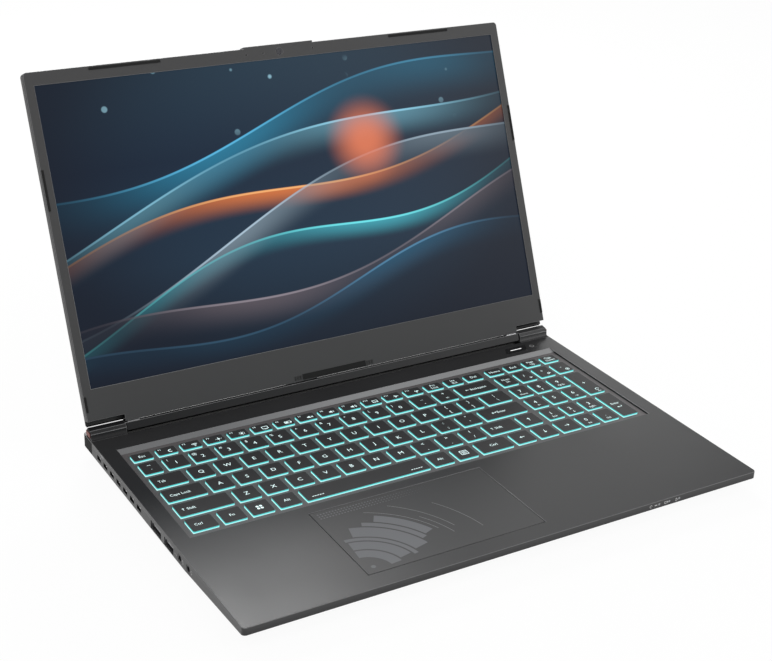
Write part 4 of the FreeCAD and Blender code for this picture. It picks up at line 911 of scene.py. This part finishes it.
def face_at(origin, right, up):
    """Millimetre coordinates on a flat face: right, up, and out of it."""
    out = right.cross(up)
    turned = Matrix((right, up, out)).transposed() * MM
    return Matrix.Translation(origin) @ turned.to_4x4()


def foot_ribs():
    """Fine ribs along the rubber foot under the screen."""
    start, step, rib = (-30.0, 0.0, 0.0), (2.0, 0.0, 0.0), (1.1, 2.6, 0.3)
    ribs = Pattern("foot_ribs", Count=31, Start=start, Step=step, Rib=rib)
    ribs.cube_row(RIB_RUBBER, "Rib")
    ribs.bake(face_at(on_lid(0, RIB_UP * MM, RIB_OUT * MM), RIGHT, LID_UP), "lid")


def port_contacts():
    """Gold contacts on the tongues of the two USB sockets."""
    start, step, pin = (-3.75, 0.0, 0.0), (2.5, 0.0, 0.0), (1.2, 0.12, 5.0)
    for index, (low, high) in enumerate(islands("usb_ports")):
        pins = Pattern(f"usb_contacts_{index}", Count=4, Start=start, Step=step, Pin=pin)
        pins.cube_row(GOLD, "Pin")
        middle = (low + high) / 2
        if low.x < 0:
            outer, along = low.x + CONTACT_DEEP * MM, -BACK
        else:
            outer, along = high.x - CONTACT_DEEP * MM, BACK
        origin = Vector((outer, middle.y, middle.z - CONTACT_DROP * MM))
        pins.bake(face_at(origin, along, UP), "base")


def screw_slot_shade():
    """Black crosses on the heads of the cover screws, painted shade that stands for their cross slots."""
    cross = Pattern("screw_slot_shade", Arm=(1.9, 0.42, 0.06), Cross_Arm=(0.42, 1.9, 0.06))
    shapes = cross.add("GeometryNodeJoinGeometry", {})
    for label in ("Arm", "Cross_Arm"):
        cube = cross.add("GeometryNodeMeshCube", {"Size": cross.given[label]})
        cross.tree.links.new(cube, shapes.node.inputs[0])
    # painted shade: the slots are black blocks rather than hollows
    cross.repeat(cross.given["Geometry"], shapes, BLACK_PLASTIC)
    heads = [(low + high) / 2 for low, high in islands("cover_screws")]
    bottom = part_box("cover_screws")[0].z
    points = [(spot.x / MM, -spot.y / MM, 0.0) for spot in heads]
    cross.bake(face_at(Vector((0, 0, bottom)), RIGHT, -BACK), "base", points)


def pad_dots(origin):
    """Three rows of dots that shrink away to the right."""
    dots = Pattern("pad_dots", Wide=74.0, Tall=4.6, Columns=38, Rows=3, Dot=0.62, Fade=1.6, Reach=84.0)
    spots = dots.add("GeometryNodeMeshGrid", {
        "Size X": dots.given["Wide"], "Size Y": dots.given["Tall"],
        "Vertices X": dots.given["Columns"], "Vertices Y": dots.given["Rows"],
    })
    here = dots.add("GeometryNodeInputPosition", {})
    left_end = (-dots.sizes["Wide"] / 2, 0.0, 0.0)
    away = dots.add("ShaderNodeVectorMath", {0: here, 1: left_end}, operation="DISTANCE")
    share = dots.add("ShaderNodeMath", {
        0: away.node.outputs["Value"], 1: dots.given["Reach"],
    }, operation="DIVIDE")
    drop = dots.add("ShaderNodeMath", {0: share, 1: dots.given["Fade"]}, operation="POWER")
    size = dots.add("ShaderNodeMath", {0: 1.0, 1: drop}, operation="SUBTRACT", use_clamp=True)
    outline = {"Vertices": 8, "Radius": dots.given["Dot"]}
    disc = dots.add("GeometryNodeMeshCircle", outline, fill_type="NGON")
    dots.repeat(spots, disc, PAD_INK, size)
    dots.bake(face_at(origin, RIGHT, BACK), "touchpad")


def pad_print():
    """Ripples and thin arcs from the touchpad's near left corner, and dots along its far edge."""
    low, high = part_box("touchpad")
    pad_dots(Vector((low.x + 41 * MM, high.y - 5.5 * MM, high.z + PRINT_LIFT * MM)))
    corner = Vector((low.x, low.y, high.z))
    centre_x, centre_y = 2, 2
    # inner and outer radius, first angle and how far it turns
    rings = (
        (15, 22, 6, 78), (23.2, 31, 12, 72), (32.2, 35, 8, 78),
        (36.2, 46, 14, 62), (47.2, 51, 20, 46), (52.2, 59, 22, 36),
    )
    ripples = Ink(corner, RIGHT, BACK, lift=PRINT_LIFT)
    for inner, outer, start, turn in rings:
        ripples.band(centre_x, centre_y, inner, outer, start, turn)
    ripples.disc(6.5, 6.0, 1.5)
    ripples.finish("pad_ripples", PAD_INK, "touchpad", "touch_glass")
    arcs = Ink(corner, RIGHT, BACK, lift=PRINT_LIFT)
    for radius, start, turn in ((62, 20, 44), (66, 12, 22), (71, 16, 36), (84, 8, 26)):
        arcs.arc(centre_x, centre_y, radius, 0.3, start, turn, 24)
    arcs.finish("pad_lines", PAD_LINE, "touchpad", "touch_glass")


def lid_shade_flaps():
    """Thin dark flaps that close most of the slit between the lid's corners and the hinge covers, as painted shade
    in that slit.
    """
    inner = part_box("hinge_barrel")[1].x - SHADE_FLAP_LAP * MM
    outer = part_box("lid_cover")[1].x - SHADE_FLAP_INSET * MM
    size = Matrix.Diagonal((outer - inner, SHADE_FLAP_TALL * MM, SHADE_FLAP_THICK * MM, 1))
    turned = Matrix((RIGHT, LID_UP, LID_OUT)).transposed().to_4x4()
    up = (SHADE_FLAP_FOOT + SHADE_FLAP_TALL / 2) * MM
    out = (SHADE_FLAP_THICK / 2 - SHADE_FLAP_BACK) * MM
    for side, sign in (("left", -1), ("right", 1)):
        middle = Matrix.Translation(on_lid(sign * (inner + outer) / 2, up, out))
        work = bmesh.new()
        bmesh.ops.create_cube(work, size=1, matrix=middle @ turned @ size)
        piece_from(work, f"lid_shade_flap_{side}", RUBBER, "lid")


foot_ribs()
port_contacts()
screw_slot_shade()
pad_print()
lid_shade_flaps()


# ---- small marks on the case ---------------------------------------------------------------------
def power_marks():
    """A light bar on the button and the ring mark beside it."""
    low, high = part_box("power_button")
    middle = (low + high) / 2
    bar = Ink(Vector((middle.x, middle.y, high.z)), RIGHT, BACK)
    bar.bar(0, -0.1, 9.5, 0.65, lean=0.2)
    bar.finish("power_light", WHITE_LIGHT, BODY_OF["power_button"], "clear_light")
    ring = Ink(Vector((high.x, middle.y, DECK)), RIGHT, BACK)
    ring.arc(3.6, -0.1, 1.5, 0.4, 120, 300, 16)
    ring.line([(3.6, 0.4), (3.6, 2.0)], 0.4)
    ring.finish("power_symbol", ICON_INK, "base", "case_plastic")


def status_marks():
    """Small pictures beside the three status lights in the front wall."""
    boxes = islands("status_lights")
    boxes.sort(key=lambda box: box[0].x)
    level = (boxes[0][0].z + boxes[0][1].z) / 2
    ink = Ink(Vector((0, FRONT, level)), RIGHT, UP, lift=WALL_LIFT)
    places = [(low.x + high.x) / 2 / MM for low, high in boxes]
    ink.arc(places[0] - 6.6, 0, 0.8, 0.35, 0, 300, 10)
    ink.bar(places[0] - 2.7, 0, 1.9, 0.7)
    ink.frame(places[1] - 2.8, 0, 2.2, 1.2, 0.35)
    ink.bar(places[1] - 1.3, 0, 0.4, 0.6)
    ink.arc(places[2] - 2.4, -0.3, 0.8, 0.35, 200, 320, 10)
    ink.line([(places[2] - 2.4, -0.2), (places[2] - 2.4, 1.0)], 0.35)
    ink.finish("status_pictures", STATUS_INK, "base", "clear_light")


def port_marks():
    """Small pictures in front of the two audio jacks and the left port."""
    jacks = [((low.y + high.y) / 2, (low.z + high.z) / 2) for low, high in islands("audio_jacks")]
    ink = Ink(Vector((BASE_LOW.x, 0, 0)), -BACK, UP, lift=WALL_LIFT)
    for y, z in jacks:
        x, up = -y / MM + 4.3, z / MM
        ink.arc(x, up, 0.9, 0.35, 20, 320, 10)
        ink.bar(x, up - 1.2, 0.5, 0.7)
    ports = [box for box in islands("usb_ports") if box[0].x < 0]
    y, z = ports[0][0].y, (ports[0][0].z + ports[0][1].z) / 2
    ink.line([(-y / MM + 1.6, z / MM), (-y / MM + 4.4, z / MM)], 0.35)
    ink.disc(-y / MM + 4.4, z / MM, 0.45, 8)
    ink.finish("port_pictures", ICON_INK, "base", "case_plastic")


power_marks()
status_marks()
port_marks()


# ---- floor, light and camera -----------------------------------------------------------------------
FLOOR_COLOUR = (0.86, 0.86, 0.86, 1)
WHITE_SHARE = 0.95  # how much of the floor's own white is seen instead of its shading
FILL_LEVEL = 0.35
# lens in millimetres, place in metres, and turn in degrees about x, y and z
CAMERA_LENS = 70.40
CAMERA_PLACE = (-0.45660, -0.70469, 0.48994)
CAMERA_TURN = (65.043, -2.046, -30.428)


def backdrop_finish():
    """Pale surface that shows white and keeps a soft shadow."""
    material = bpy.data.materials.new("backdrop")
    material.use_nodes = True
    nodes, links = material.node_tree.nodes, material.node_tree.links
    nodes.remove(nodes["Principled BSDF"])
    matte = nodes.new("ShaderNodeBsdfDiffuse")
    matte.inputs["Color"].default_value = FLOOR_COLOUR
    white = nodes.new("ShaderNodeEmission")
    path = nodes.new("ShaderNodeLightPath")
    seen = nodes.new("ShaderNodeMath")
    seen.operation = "MAXIMUM"
    links.new(path.outputs["Is Camera Ray"], seen.inputs[0])
    links.new(path.outputs["Is Glossy Ray"], seen.inputs[1])
    part = nodes.new("ShaderNodeMath")
    part.operation = "MULTIPLY"
    part.inputs[1].default_value = WHITE_SHARE
    links.new(seen.outputs[0], part.inputs[0])
    both = nodes.new("ShaderNodeMixShader")
    links.new(part.outputs[0], both.inputs[0])
    links.new(matte.outputs[0], both.inputs[1])
    links.new(white.outputs[0], both.inputs[2])
    links.new(both.outputs[0], nodes["Material Output"].inputs["Surface"])
    return material


def floor():
    work = bmesh.new()
    bmesh.ops.create_circle(work, cap_ends=True, segments=64, radius=8)
    mesh = bpy.data.meshes.new("floor")
    work.to_mesh(mesh)
    work.free()
    mesh.materials.append(backdrop_finish())
    made = bpy.data.objects.new("floor", mesh)
    SCENE.collection.objects.link(made)


def soft_light(name, place, aim, size, power):
    light = bpy.data.lights.new(name, "AREA")
    light.shape = "RECTANGLE"
    light.size, light.size_y = size
    light.energy = power
    made = bpy.data.objects.new(name, light)
    made.location = place
    made.rotation_euler = (Vector(aim) - Vector(place)).to_track_quat("-Z", "Y").to_euler()
    SCENE.collection.objects.link(made)


def sky():
    """White where it is seen, directly or through glass, and a soft even fill elsewhere."""
    world = bpy.data.worlds.new("studio")
    SCENE.world = world
    world.use_nodes = True
    nodes, links = world.node_tree.nodes, world.node_tree.links
    back = nodes["Background"]
    path = nodes.new("ShaderNodeLightPath")
    seen = nodes.new("ShaderNodeMath")
    seen.operation = "MAXIMUM"
    links.new(path.outputs["Is Camera Ray"], seen.inputs[0])
    links.new(path.outputs["Is Transmission Ray"], seen.inputs[1])
    level = nodes.new("ShaderNodeMapRange")
    level.inputs["To Min"].default_value = FILL_LEVEL
    level.inputs["To Max"].default_value = 1.0
    links.new(seen.outputs[0], level.inputs["Value"])
    back.inputs["Color"].default_value = (1, 1, 1, 1)
    links.new(level.outputs[0], back.inputs["Strength"])


def camera():
    data = bpy.data.cameras.new("camera")
    data.sensor_width = 36
    data.lens = CAMERA_LENS
    data.clip_end = 50
    made = bpy.data.objects.new("camera", data)
    made.location = CAMERA_PLACE
    made.rotation_euler = Euler([math.radians(turn) for turn in CAMERA_TURN])
    SCENE.collection.objects.link(made)
    SCENE.camera = made


floor()
soft_light("over_left", (-0.7, -0.6, 1.3), (0, 0, 0.05), (0.9, 0.9), 9)
soft_light("behind_left", (0.26, 1.1, 0.92), (0, 0, 0.03), (0.5, 0.6), 12)
soft_light("behind_right", (1.06, 1.1, 0.64), (0.1, 0, 0.03), (0.5, 0.35), 1.0)
soft_light("right_fill", (1.2, -0.9, 0.9), (0, 0, 0.1), (0.9, 0.9), 10)
sky()
camera()
SCENE.view_settings.view_transform = "Standard"
